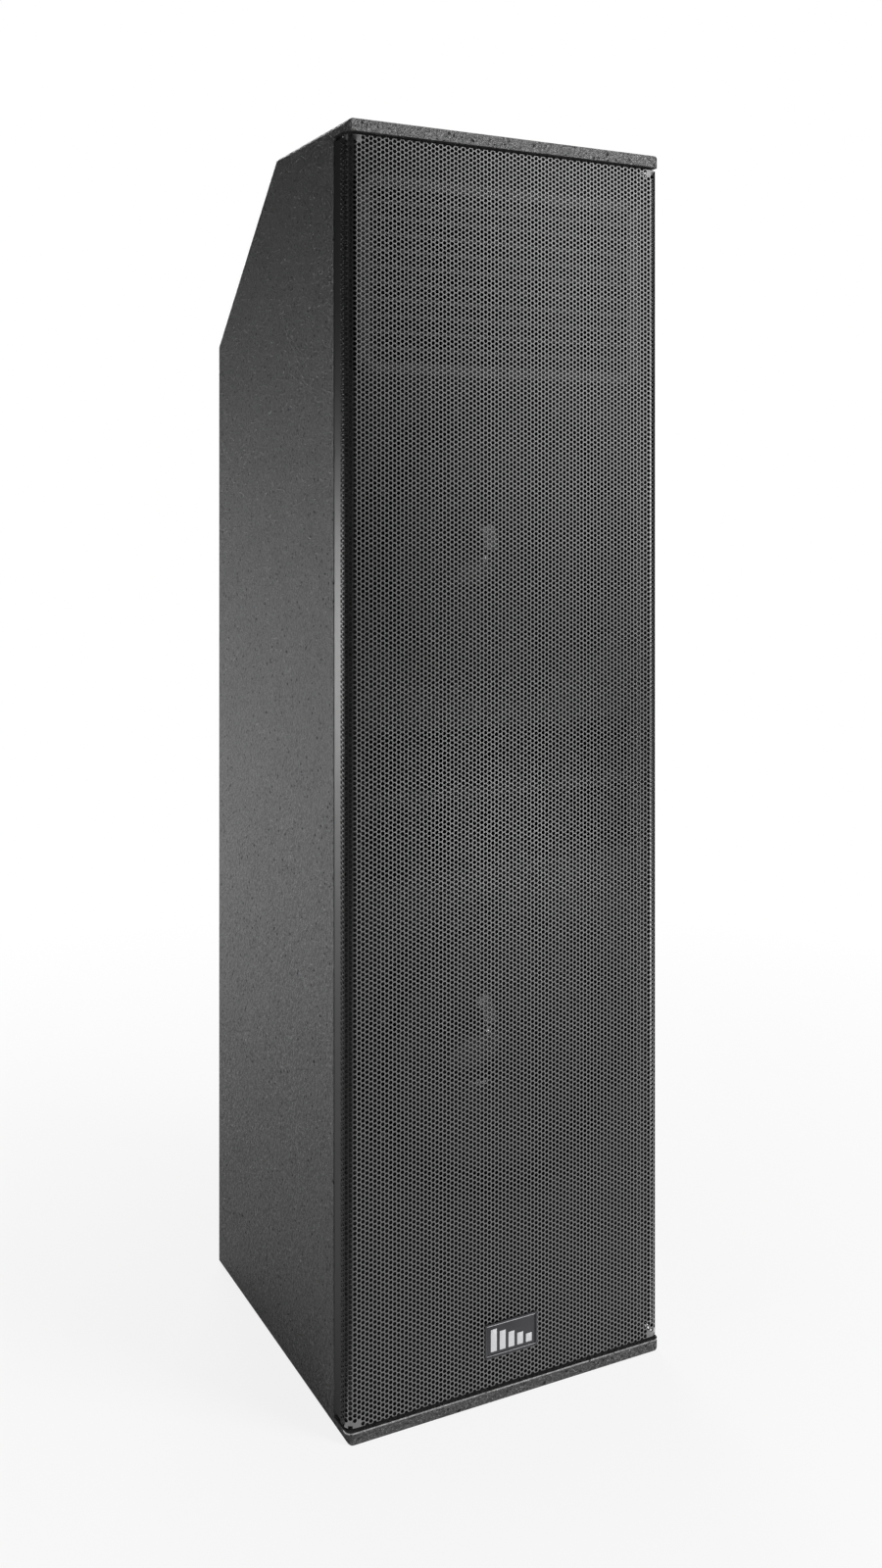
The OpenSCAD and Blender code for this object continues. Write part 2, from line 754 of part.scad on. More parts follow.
// Circuit board with its ring transformer, reservoir capacitors and coils
module amplifier_board() {
    board_y = box_y + 10;
    control_y = tray_back_y - 24.5;
    color([0.1, 0.3, 0.15]) {
        block(-92, 92, board_y, board_y + 1.6, amp_z - 140, amp_z + 110);
        for (x = [-85, 85], z = [-130, 100])
            rod(3, box_y + 1.5, board_y, x, amp_z + z);
        difference() {
            rod(46, board_y + 1.6, board_y + 38, 30, amp_z - 70);
            rod(14, board_y + 5, board_y + 39, 30, amp_z - 70);
        }
        for (x = [-66, -36], z = [-112, -78])
            rod(12.5, board_y + 1.6, board_y + 42, x, amp_z + z);
        for (x = [-60, -20, 20])
            rod(11, board_y + 1.6, board_y + 14, x, amp_z + 30);
        for (z = [0, 24, 48])
            block(60, 76, board_y + 1.6, board_y + 20, amp_z + z, amp_z + z + 16);
        block(-80, -48, board_y + 1.6, board_y + 12, amp_z + 78, amp_z + 92);
        block(-96, 96, control_y, control_y + 1.6, top_row_z - 17, top_row_z + 17);
        rod(9, control_y + 1.6, control_y + 12, knob_x, top_row_z);
    }
}

// Round panel socket: square flange, barrel and an open bore
module panel_socket(x, z, bore_r, bore_d) {
    difference() {
        union() {
            plate(26, 34, 2.5, tray_y, tray_y + 2, z, x);
            rod(socket_r - 0.2, tray_back_y - 22, tray_y + 3.2, x, z);
        }
        rod(bore_r, tray_y + 3.2 - bore_d, tray_y + 4, x, z);
        for (s = [-1, 1])
            rod(1.4, tray_y - 1, tray_y + 3, x + s * 10, z - s * 12.6);
    }
}

module input_socket() {
    color([0.1, 0.1, 0.1]) difference() {
        panel_socket(input_x, top_row_z, 3.25, 20);
        for (a = [30, 150, 270])
            translate([input_x, 0, top_row_z]) rotate([0, a, 0])
                rod(1.5, tray_y - 12, tray_y + 4, 7.2, 0);
        plate(6.6, 5.6, 0.4, tray_y - 1, tray_y + 4, top_row_z + latch_up, input_x);
    }
}

// Tab that lets the plug go when it is pressed
module input_latch()
    color([0.7, 0.7, 0.7]) translate([input_x, 0, top_row_z + latch_up])
        block(-2.9, 2.9, tray_y + 1.7, tray_y + 4.6, -2.4, 2.4);

module link_socket() {
    color([0.1, 0.1, 0.1]) {
        panel_socket(link_x, top_row_z, 9.4, 15);
        for (a = [30, 150, 270])
            translate([link_x, 0, top_row_z]) rotate([0, a, 0])
                rod(1.2, tray_y - 12, tray_y - 4, 4.2, 0);
    }
}

// Appliance inlet with three blades
module mains_inlet() {
    color([0.08, 0.08, 0.08]) {
        difference() {
            union() {
                plate(44, 26, 3, tray_y, tray_y + 2.4, low_row_z, inlet_x);
                plate(27.6, 19.6, 2, tray_back_y - 20, tray_y, low_row_z, inlet_x);
            }
            plate(24.4, 16.4, 1.6, tray_y - 15, tray_y + 3, low_row_z, inlet_x);
            for (s = [-1, 1])
                rod(1.7, tray_y - 1, tray_y + 3, inlet_x + s * 18, low_row_z);
        }
        for (p = [[-7, -2], [0, 2], [7, -2]])
            block(inlet_x + p[0] - 1, inlet_x + p[0] + 1, tray_y - 15 - eps, tray_y - 6,
                low_row_z + p[1] - 2, low_row_z + p[1] + 2);
    }
}

// Bezel and body of the mains switch, with the rocker's pivot holes
module power_switch_housing()
    color([0.06, 0.06, 0.06]) difference() {
        union() {
            plate(17, 26, 1.5, tray_y, tray_y + 1.6, low_row_z, rocker_x);
            plate(12.6, 21.6, 0.8, tray_back_y - 16, tray_y + eps, low_row_z, rocker_x);
        }
        plate(rocker_w + 0.8, 17.8, 0.4, rocker_y - 6, tray_y + 2, low_row_z, rocker_x);
        translate([rocker_x - 5.8, rocker_y, low_row_z]) rotate([0, 90, 0])
            cylinder(r = pivot_r + 0.05, h = 11.6);
    }

module power_rocker()
    color([0.75, 0.1, 0.08])
    translate([rocker_x, rocker_y, low_row_z]) rotate([rocker_tilt, 0, 0]) {
        across([[-4, -7.6], [3.9, -7.6], [3.2, -5], [2.4, 0], [3.2, 5], [3.9, 7.6],
            [-4, 7.6]], -rocker_w / 2, rocker_w / 2);
        translate([-5.6, 0, 0]) rotate([0, 90, 0]) cylinder(r = pivot_r, h = 11.2);
    }

module level_knob() {
    color([0.1, 0.1, 0.1]) difference() {
        union() {
            rod(11, tray_y + 1, tray_y + 4, knob_x, top_row_z);
            rod(8.5, tray_y + 3, tray_y + 15, knob_x, top_row_z);
            rod(3.9, tray_back_y - 6, tray_y + 2, knob_x, top_row_z);
        }
        block(knob_x - 0.6, knob_x + 0.6, tray_y + 14.2, tray_y + 16, top_row_z + 2,
            top_row_z + 9);
    }
}

module status_light()
    color([0.3, 0.9, 0.4]) {
        rod(2.9, tray_back_y - 4, tray_y + eps, knob_x, light_z);
        rod(3.6, tray_y, tray_y + 1, knob_x, light_z);
    }

// ---- internal wires -------------------------------------------------------

// Round wire along straight runs, each run crossing into the next at a bend
module wire(r, points)
    for (i = [0:len(points) - 2]) {
        run = points[i + 1] - points[i];
        past = i < len(points) - 2 ? 0.8 * r : 0;
        translate(points[i])
            rotate([0, acos(run[2] / norm(run)), atan2(run[1], run[0])])
            cylinder(r = r, h = norm(run) + past);
    }

module speaker_wires()
    color([0.08, 0.08, 0.08]) {
        wire(trunk_r, [[wire_x, box_y + 9.8, wire_exit_z], [wire_x, wire_y, wire_exit_z],
            [wire_x, wire_y, 1062], [51, 20, horn_z]]);
        for (z = [lower_z + tag_up, upper_z + tag_up])
            wire(branch_r, [[wire_x, wire_y, wire_exit_z], [wire_x, wire_y, z],
                [tag_x, 30, z], [tag_x, tag_y, z]]);
    }

// ---- what is drawn --------------------------------------------------------

top_panel();
bottom_panel();
left_side_panel();
right_side_panel();
back_panel();
sloped_back_panel();
upper_baffle();
lower_baffle();
port_upper_shelf();
port_divider();
port_lower_shelf();
port_side_cheeks();
horn_chamber_shelf();
acoustic_lining();
grille();
grille_foam_strips();
badge();
rigging_inserts();
driver_screws();
horn();
horn_vanes();
hf_front_plate();
hf_phase_plug();
hf_magnet();
hf_diaphragm();
hf_rear_cover();
upper_frame();
upper_gasket();
upper_surround();
upper_cone();
upper_dust_cap();
upper_spider();
upper_voice_coil();
upper_front_plate();
upper_magnet();
upper_pole_yoke();
lower_frame();
lower_gasket();
lower_surround();
lower_cone();
lower_dust_cap();
lower_spider();
lower_voice_coil();
lower_front_plate();
lower_magnet();
lower_pole_yoke();
amp_tray();
amp_chassis();
amp_tray_screws();
heatsink();
amplifier_board();
input_socket();
input_latch();
link_socket();
mains_inlet();
power_switch_housing();
power_rocker();
level_knob();
status_light();
speaker_wires();
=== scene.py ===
"""Looks of the column loudspeaker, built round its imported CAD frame.

Metres, X to the right, Y from the front to the back, Z up.
"""

import math

import bmesh
import bpy
import numpy as np
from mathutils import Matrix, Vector


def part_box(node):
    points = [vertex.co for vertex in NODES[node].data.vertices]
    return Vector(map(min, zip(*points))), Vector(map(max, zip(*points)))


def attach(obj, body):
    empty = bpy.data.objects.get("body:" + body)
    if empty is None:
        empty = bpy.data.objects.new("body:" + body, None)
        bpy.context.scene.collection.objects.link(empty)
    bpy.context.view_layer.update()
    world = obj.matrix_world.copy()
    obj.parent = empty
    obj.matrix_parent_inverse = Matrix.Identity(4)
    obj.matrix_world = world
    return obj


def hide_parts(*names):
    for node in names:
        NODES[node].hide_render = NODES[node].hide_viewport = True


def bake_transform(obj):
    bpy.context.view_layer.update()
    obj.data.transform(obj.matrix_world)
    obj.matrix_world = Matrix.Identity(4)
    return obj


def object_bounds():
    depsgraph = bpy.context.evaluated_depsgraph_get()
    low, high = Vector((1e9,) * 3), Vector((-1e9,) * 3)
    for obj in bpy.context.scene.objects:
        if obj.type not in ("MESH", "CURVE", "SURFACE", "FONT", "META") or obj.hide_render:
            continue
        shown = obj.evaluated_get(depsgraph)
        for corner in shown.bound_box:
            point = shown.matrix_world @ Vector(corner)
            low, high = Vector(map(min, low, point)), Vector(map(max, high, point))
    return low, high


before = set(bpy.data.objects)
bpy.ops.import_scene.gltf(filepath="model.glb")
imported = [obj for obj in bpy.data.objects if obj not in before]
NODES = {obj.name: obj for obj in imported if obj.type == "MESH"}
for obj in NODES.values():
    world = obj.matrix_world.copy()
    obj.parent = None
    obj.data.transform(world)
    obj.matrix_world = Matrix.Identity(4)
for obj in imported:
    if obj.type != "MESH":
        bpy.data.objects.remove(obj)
cad_low, cad_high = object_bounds()

MM = 0.001
WOOFERS = ("upper", "lower")


# ---- node helpers ----------------------------------------------------------


def new_material(name, colour, rough, metallic=0.0, specular=0.5):
    """A Principled material, its node tree, and the shader to build on."""
    mat = bpy.data.materials.new(name)
    mat.use_nodes = True
    tree = mat.node_tree
    shader = tree.nodes["Principled BSDF"]
    shader.inputs["Base Color"].default_value = (*colour, 1)
    shader.inputs["Roughness"].default_value = rough
    shader.inputs["Metallic"].default_value = metallic
    shader.inputs["Specular IOR Level"].default_value = specular
    return mat, tree, shader


def add(tree, kind, **values):
    """A node with its properties and, for names that are inputs, their values."""
    node = tree.nodes.new("ShaderNode" + kind)
    for key, value in values.items():
        if hasattr(node, key):
            setattr(node, key, value)
        else:
            node.inputs[key.replace("_", " ").title()].default_value = value
    return node


def place(tree, stretch=(1, 1, 1)):
    """Object coordinates, in metres, stretched along the axes."""
    coord = add(tree, "TexCoord")
    mapping = add(tree, "Mapping")
    mapping.inputs["Scale"].default_value = stretch
    tree.links.new(coord.outputs["Object"], mapping.inputs["Vector"])
    return mapping.outputs["Vector"]


def noise(tree, at, per_metre, detail=3.0, rough=0.5):
    """Noise with that many features to the metre."""
    node = add(tree, "TexNoise", scale=per_metre, detail=detail, roughness=rough)
    tree.links.new(at, node.inputs["Vector"])
    return node.outputs["Fac"]


def waves(tree, at, per_metre, direction="X", kind="BANDS"):
    """Even waves, or rings, with that many crests to the metre."""
    node = add(tree, "TexWave", wave_type=kind, scale=per_metre * math.pi / 10)
    if kind == "BANDS":
        node.bands_direction = direction
    else:
        node.rings_direction = direction
    tree.links.new(at, node.inputs["Vector"])
    return node.outputs["Fac"]


def math_node(tree, operation, *terms):
    """Arithmetic on sockets or numbers."""
    node = add(tree, "Math", operation=operation)
    for socket, value in zip(node.inputs, terms):
        if isinstance(value, (int, float)):
            socket.default_value = value
        else:
            tree.links.new(value, socket)
    return node.outputs["Value"]


def ramp(tree, fac, stops):
    """Colour ramp through (position, grey or colour) stops."""
    node = add(tree, "ValToRGB")
    points = node.color_ramp.elements
    while len(points) < len(stops):
        points.new(0.5)
    for point, (position, value) in zip(points, stops):
        point.position = position
        point.color = (*value, 1) if isinstance(value, tuple) else (value, value, value, 1)
    tree.links.new(fac, node.inputs["Fac"])
    return node.outputs["Color"]


def spread(tree, fac, low, high, start=0.0, end=1.0):
    """Maps start..end to low..high."""
    node = add(tree, "MapRange")
    for name, value in (("From Min", start), ("From Max", end), ("To Min", low), ("To Max", high)):
        node.inputs[name].default_value = value
    tree.links.new(fac, node.inputs["Value"])
    return node.outputs["Result"]


def bump(tree, shader, height, depth_mm, after=None):
    """Bump of a given depth on the shader's normal, on top of an earlier one."""
    node = add(tree, "Bump")
    node.inputs["Strength"].default_value = 1.0
    node.inputs["Distance"].default_value = depth_mm * MM
    tree.links.new(height, node.inputs["Height"])
    if after is not None:
        tree.links.new(after, node.inputs["Normal"])
    tree.links.new(node.outputs["Normal"], shader.inputs["Normal"])
    return node.outputs["Normal"]


# ---- materials --------------------------------------------------------------


def under_skin(tree, at):
    """How far a point lies inside the cabinet's outer box."""
    middle, half = (cad_low + cad_high) / 2, (cad_high - cad_low) / 2
    centred = add(tree, "VectorMath", operation="SUBTRACT")
    tree.links.new(at, centred.inputs[0])
    centred.inputs[1].default_value = middle
    away = add(tree, "VectorMath", operation="ABSOLUTE")
    tree.links.new(centred.outputs["Vector"], away.inputs[0])
    within = add(tree, "VectorMath", operation="SUBTRACT")
    within.inputs[0].default_value = half
    tree.links.new(away.outputs["Vector"], within.inputs[1])
    parts = add(tree, "SeparateXYZ")
    tree.links.new(within.outputs["Vector"], parts.inputs["Vector"])
    nearest = math_node(tree, "MINIMUM", parts.outputs["X"], parts.outputs["Y"])
    return math_node(tree, "MINIMUM", nearest, parts.outputs["Z"])


def textured_paint(name, painted_shade_inside):
    """Sprayed paint: orange peel with glints, and scattered pits painted dark as shade in their
    hollows.

    With painted_shade_inside, whatever lies 3 mm or more inside the cabinet's outer box is painted as
    shade: dull black.
    """
    mat, tree, shader = new_material(name, (0.04, 0.04, 0.042), 0.4, specular=0.8)
    at = place(tree)
    peel = noise(tree, at, 330, 4.0, 0.62)
    cells = add(tree, "TexVoronoi", scale=185.0)
    tree.links.new(at, cells.inputs["Vector"])
    colour = add(tree, "SeparateColor")
    tree.links.new(cells.outputs["Color"], colour.inputs["Color"])
    pit_size = spread(tree, colour.outputs["Red"], 0.04, 0.27)
    past_edge = math_node(tree, "SUBTRACT", cells.outputs["Distance"], pit_size)
    ragged = math_node(tree, "MULTIPLY_ADD", peel, 0.30, -0.15)
    unpitted = spread(tree, math_node(tree, "ADD", past_edge, ragged), 0.0, 1.0, -0.04, 0.06)
    tone = ramp(tree, peel, [(0.36, 0.011), (0.50, 0.032), (0.64, 0.095)])
    # painted shade: the pits' colour drops to 15%, standing in for the shadow in their hollows
    shade = math_node(tree, "MULTIPLY", tone, spread(tree, unpitted, 0.15, 1.0))
    rough = math_node(tree, "MAXIMUM", spread(tree, peel, 0.46, 0.24, 0.38, 0.62),
                      spread(tree, unpitted, 1.0, 0.0))
    # painted shade: the cabinet's inner faces are darkened to near black and made fully rough
    if painted_shade_inside:
        inside = spread(tree, under_skin(tree, at), 0.0, 1.0, 2.0 * MM, 3.0 * MM)
        shade = math_node(tree, "MULTIPLY", shade, spread(tree, inside, 1.0, 0.12))
        rough = math_node(tree, "MAXIMUM", rough, inside)
    tree.links.new(shade, shader.inputs["Base Color"])
    tree.links.new(rough, shader.inputs["Roughness"])
    coarse = bump(tree, shader, peel, 1.6)
    bump(tree, shader, unpitted, 0.5, coarse)
    return mat


def powder_coat(name, grey, rough):
    """Even powder coat on sheet metal with a faint grain, its colour left plain."""
    mat, tree, shader = new_material(name, (grey, grey, grey * 1.02), rough, specular=0.6)
    bump(tree, shader, noise(tree, place(tree), 1500, 2.0), 0.04)
    return mat


def finish(name, colour, rough, metallic=0.0, tint=0.12, vary=0.07, blotch=90.0, grain=1500.0,
           depth=0.03, stretch=(1, 1, 1), specular=0.5):
    """A finish whose colour and gloss drift a little, with a fine grain in its surface."""
    mat, tree, shader = new_material(name, colour, rough, metallic, specular)
    at = place(tree, stretch)
    drift = noise(tree, at, blotch)
    dark = tuple(c * (1 - tint) for c in colour)
    light = tuple(min(1, c * (1 + tint)) for c in colour)
    tree.links.new(ramp(tree, drift, [(0.3, dark), (0.7, light)]), shader.inputs["Base Color"])
    tree.links.new(spread(tree, drift, rough - vary, rough + vary), shader.inputs["Roughness"])
    bump(tree, shader, noise(tree, at, grain, 2.0), depth)
    return mat


def painted_board():
    """Thin flat black paint over plywood, with its grain coming through."""
    return finish("painted_board", (0.004, 0.004, 0.004), 0.6, tint=0.3, blotch=70, grain=420,
                  depth=0.10, stretch=(1, 1, 9), specular=0.06)


def bare_plywood():
    """Birch veneer with long figure and open pores."""
    mat, tree, shader = new_material("bare_plywood", (0.58, 0.43, 0.27), 0.55)
    figure = noise(tree, place(tree, (14, 1, 14)), 7, 5.0, 0.6)
    wood = [(0.3, (0.46, 0.32, 0.18)), (0.5, (0.60, 0.45, 0.28)), (0.7, (0.70, 0.55, 0.37))]
    tree.links.new(ramp(tree, figure, wood), shader.inputs["Base Color"])
    bump(tree, shader, noise(tree, place(tree, (12, 1, 12)), 90, 3.0), 0.12)
    return mat


def woven(name, colour, rough, threads, depth, specular=0.3):
    """Cloth: two crossed sets of threads, with painted shade making the gaps darker than the tops."""
    mat, tree, shader = new_material(name, colour, rough, specular=specular)
    at = place(tree)
    across = waves(tree, at, threads, "X")
    up = waves(tree, at, threads, "Z")
    weave = math_node(tree, "MULTIPLY", across, up)
    # painted shade: the gaps between threads are darkened to 45%
    gap = tuple(c * 0.45 for c in colour)
    tree.links.new(ramp(tree, weave, [(0.0, gap), (0.6, colour)]), shader.inputs["Base Color"])
    bump(tree, shader, weave, depth)
    return mat


def cone_paper():
    """Black pressed paper with short fibres."""
    mat, tree, shader = new_material("cone_paper", (0.006, 0.006, 0.006), 0.55, specular=0.08)
    at = place(tree)
    fibres = noise(tree, at, 900, 4.0, 0.7)
    stops = [(0.35, 0.003), (0.6, 0.006), (0.8, 0.012)]
    tree.links.new(ramp(tree, fibres, stops), shader.inputs["Base Color"])
    tree.links.new(spread(tree, noise(tree, at, 60), 0.45, 0.62), shader.inputs["Roughness"])
    bump(tree, shader, fibres, 0.10)
    return mat


def winding(name, colour, per_metre):
    """Close turns of enamelled wire round the Y axis, with painted shade in the grooves between them.
    """
    mat, tree, shader = new_material(name, colour, 0.3, 1.0)
    turns = waves(tree, place(tree), per_metre, "Y")
    # painted shade: the grooves between turns are darkened to 40%
    dark = tuple(c * 0.4 for c in colour)
    tree.links.new(ramp(tree, turns, [(0.1, dark), (0.5, colour)]), shader.inputs["Base Color"])
    bump(tree, shader, turns, 0.12)
    return mat


def turned_metal(name, colour, rough, metallic=1.0):
    """Machined metal with fine concentric tool marks about the Y axis."""
    mat, tree, shader = new_material(name, colour, rough, metallic)
    marks = noise(tree, place(tree, (1, 40, 1)), 60, 3.0)
    tree.links.new(spread(tree, marks, rough - 0.1, rough + 0.12), shader.inputs["Roughness"])
    dark = tuple(c * 0.85 for c in colour)
    tree.links.new(ramp(tree, marks, [(0.3, dark), (0.6, colour)]), shader.inputs["Base Color"])
    bump(tree, shader, marks, 0.02)
    return mat


def foam(name, colour, pores, depth, rough=0.9):
    """Open or closed cells, with painted shade darkening their bottoms."""
    mat, tree, shader = new_material(name, colour, rough, specular=0.05)
    cells = add(tree, "TexVoronoi", scale=pores)
    tree.links.new(place(tree), cells.inputs["Vector"])
    # painted shade: the cell bottoms are darkened to half
    dark = tuple(c * 0.5 for c in colour)
    deep = cells.outputs["Distance"]
    tree.links.new(ramp(tree, deep, [(0.1, dark), (0.6, colour)]), shader.inputs["Base Color"])
    bump(tree, shader, deep, depth)
    return mat


def solder_mask():
    """Green board with raised copper tracks under the mask."""
    mat, tree, shader = new_material("solder_mask", (0.02, 0.12, 0.05), 0.3)
    at = place(tree)
    tracks = add(tree, "TexBrick", offset=0.5, scale=110.0, mortar_size=0.02)
    turn = add(tree, "Mapping")
    turn.inputs["Rotation"].default_value = (math.radians(90), 0, 0)
    tree.links.new(at, turn.inputs["Vector"])
    tree.links.new(turn.outputs["Vector"], tracks.inputs["Vector"])
    stops = [(0.0, (0.015, 0.10, 0.04)), (1.0, (0.05, 0.22, 0.09))]
    tree.links.new(ramp(tree, tracks.outputs["Fac"], stops), shader.inputs["Base Color"])
    bump(tree, shader, tracks.outputs["Fac"], 0.05)
    return mat


def lens(name, colour, glow):
    """Clear coloured plastic with a little light behind it."""
    mat, tree, shader = new_material(name, colour, 0.2)
    fade = noise(tree, place(tree), 500, 1.0)
    dark = tuple(c * 0.6 for c in colour)
    tree.links.new(ramp(tree, fade, [(0.3, dark), (0.7, colour)]), shader.inputs["Base Color"])
    shader.inputs["Emission Color"].default_value = (*colour, 1)
    shader.inputs["Emission Strength"].default_value = glow
    shader.inputs["Coat Weight"].default_value = 0.6
    return mat


# ---- meshes -----------------------------------------------------------------


def mesh_object(name, verts, quads, tris=None):
    """Object from arrays of points, quads and triangles, smooth up to 40 degrees."""
    quads = np.asarray(quads, np.int32).reshape(-1, 4)
    tris = np.zeros((0, 3), np.int32) if tris is None else np.asarray(tris, np.int32).reshape(-1, 3)
    mesh = bpy.data.meshes.new(name)
    mesh.vertices.add(len(verts))
    mesh.vertices.foreach_set("co", np.asarray(verts, np.float32).ravel())
    loops = np.concatenate([quads.ravel(), tris.ravel()])
    starts = np.concatenate(
        [np.arange(len(quads)) * 4, len(quads) * 4 + np.arange(len(tris)) * 3]
    )
    mesh.loops.add(len(loops))
    mesh.loops.foreach_set("vertex_index", loops.astype(np.int32))
    mesh.polygons.add(len(starts))
    mesh.polygons.foreach_set("loop_start", starts.astype(np.int32))
    mesh.update(calc_edges=True)
    mesh.validate()
    mesh.shade_smooth()
    mesh.set_sharp_from_angle(angle=math.radians(40))
    obj = bpy.data.objects.new(name, mesh)
    bpy.context.scene.collection.objects.link(obj)
    return obj


def finish_piece(obj, material, body, slot, *nodes):
    """Gives a new piece its material and its body, and hides the nodes it stands for; slot is not used.
    """
    obj.data.materials.append(material)
    if nodes:
        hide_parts(*nodes)
    if body is not None:
        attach(obj, body)
    return obj


def outward(obj):
    """Turns every face's normal to the outside."""
    work = bmesh.new()
    work.from_mesh(obj.data)
    bmesh.ops.recalc_face_normals(work, faces=work.faces)
    work.to_mesh(obj.data)
    work.free()
    return obj


def lathe(name, outline, centre, segments=120, shape=None):
    """Closed body turned round a Y axis through centre, its outline given as [radius, depth].

    shape(radius, depth, angle) may move the points of each ring.
    """
    angles = np.arange(segments) * 2 * math.pi / segments
    rings, verts = [], []
    for radius, depth in outline:
        count = 1 if radius < 1e-6 else segments
        turn = angles[:count]
        r, d = np.full(count, radius), np.full(count, depth)
        if shape is not None and count > 1:
            r, d = shape(r, d, turn)
        rings.append(len(verts) + np.arange(count) if count > 1 else np.full(segments, len(verts)))
        points = np.stack([r * np.cos(turn), d, r * np.sin(turn)], 1) + np.array(centre)
        verts.extend(points.tolist())
    quads, tris = [], []
    for a, b in zip(rings, rings[1:] + rings[:1]):
        for j in range(segments):
            k = (j + 1) % segments
            corners = [a[j], a[k], b[k], b[j]]
            unique = list(dict.fromkeys(int(c) for c in corners))
            if len(unique) == 4:
                quads.append(unique)
            elif len(unique) == 3:
                tris.append(unique)
    return outward(mesh_object(name, verts, quads, tris))


def joined(name, blocks):
    """One object from boxes given as (x0, x1, y0, y1, z0, z1), their edges chamfered."""
    work = bmesh.new()
    for x0, x1, y0, y1, z0, z1 in blocks:
        made = bmesh.ops.create_cube(work, size=1.0)["verts"]
        size = Vector((x1 - x0, y1 - y0, z1 - z0))
        middle = Vector((x0 + x1, y0 + y1, z0 + z1)) / 2
        for v in made:
            v.co = Vector(a * b for a, b in zip(v.co, size)) + middle
        edges = {e for v in made for e in v.link_edges}
        bmesh.ops.bevel(work, geom=list(edges), offset=min(size) * 0.12, segments=2,
                        affect="EDGES", profile=0.5)
    mesh = bpy.data.meshes.new(name)
    work.to_mesh(mesh)
    work.free()
    mesh.shade_smooth()
    mesh.set_sharp_from_angle(angle=math.radians(30))
    obj = bpy.data.objects.new(name, mesh)
    bpy.context.scene.collection.objects.link(obj)
    return obj


def tube(name, routes, radii, sides=16):
    """Round wires along smooth routes of points."""
    curve = bpy.data.curves.new(name, "CURVE")
    curve.dimensions = "3D"
    curve.bevel_depth = 1.0
    curve.bevel_resolution = sides // 4
    curve.resolution_u = 10
    curve.use_fill_caps = True
    for route, radius in zip(routes, radii):
        line = curve.splines.new("BEZIER")
        line.bezier_points.add(len(route) - 1)
        for knot, at in zip(line.bezier_points, route):
            knot.co = at
            knot.handle_left_type = knot.handle_right_type = "AUTO"
            knot.radius = radius
    holder = bpy.data.objects.new(name + "_line", curve)
    bpy.context.scene.collection.objects.link(holder)
    bpy.context.view_layer.update()
    mesh = bpy.data.meshes.new_from_object(holder.evaluated_get(bpy.context.evaluated_depsgraph_get()))
    bpy.data.objects.remove(holder)
    mesh.shade_smooth()
    obj = bpy.data.objects.new(name, mesh)
    bpy.context.scene.collection.objects.link(obj)
    return obj


# ---- perforated grille --------------------------------------------------------

grille_low, grille_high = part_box("grille")
GRILLE_T = 1.5 * MM
BEND_R = 9 * MM
HOLE_R = 3.97 / 2 * MM
HOLE_ROWS = 256
COLUMN_K = 45
BANDS = 8
PITCH = (grille_high.z - grille_low.z) / HOLE_ROWS
COLUMN = PITCH * math.sqrt(3) / 2
STRAIGHT = grille_high.x - BEND_R
BEND_LENGTH = (BEND_R - GRILLE_T / 2) * math.pi / 2
SHEET_END = STRAIGHT + BEND_LENGTH + (grille_high.y - grille_low.y) - BEND_R
NOTCH_K = 42


def bent(s, depth):
    """Plan position at distance s along the unrolled sheet, depth under its face."""
    reach = np.abs(s)
    turn = np.clip((reach - STRAIGHT) / (BEND_R - GRILLE_T / 2), 0, math.pi / 2)
    radius = BEND_R - depth
    x = np.minimum(reach, STRAIGHT) + radius * np.sin(turn)
    y = grille_low.y + BEND_R - radius * np.cos(turn)
    y = y + np.maximum(reach - STRAIGHT - BEND_LENGTH, 0)
    return np.sign(s) * x, y


def cell_kind(k, m):
    """What the half cell beside column k's hole at half row m is: hole, solid or gap."""
    if abs(k) <= 6 and 14 <= m <= 24:
        return "gap"
    end = min(m, 2 * HOLE_ROWS - m)
    if abs(k) >= NOTCH_K and end == 0:
        return "gap"
    if abs(k) >= NOTCH_K - 2 and end <= 2:
        return "solid"
    return "hole"


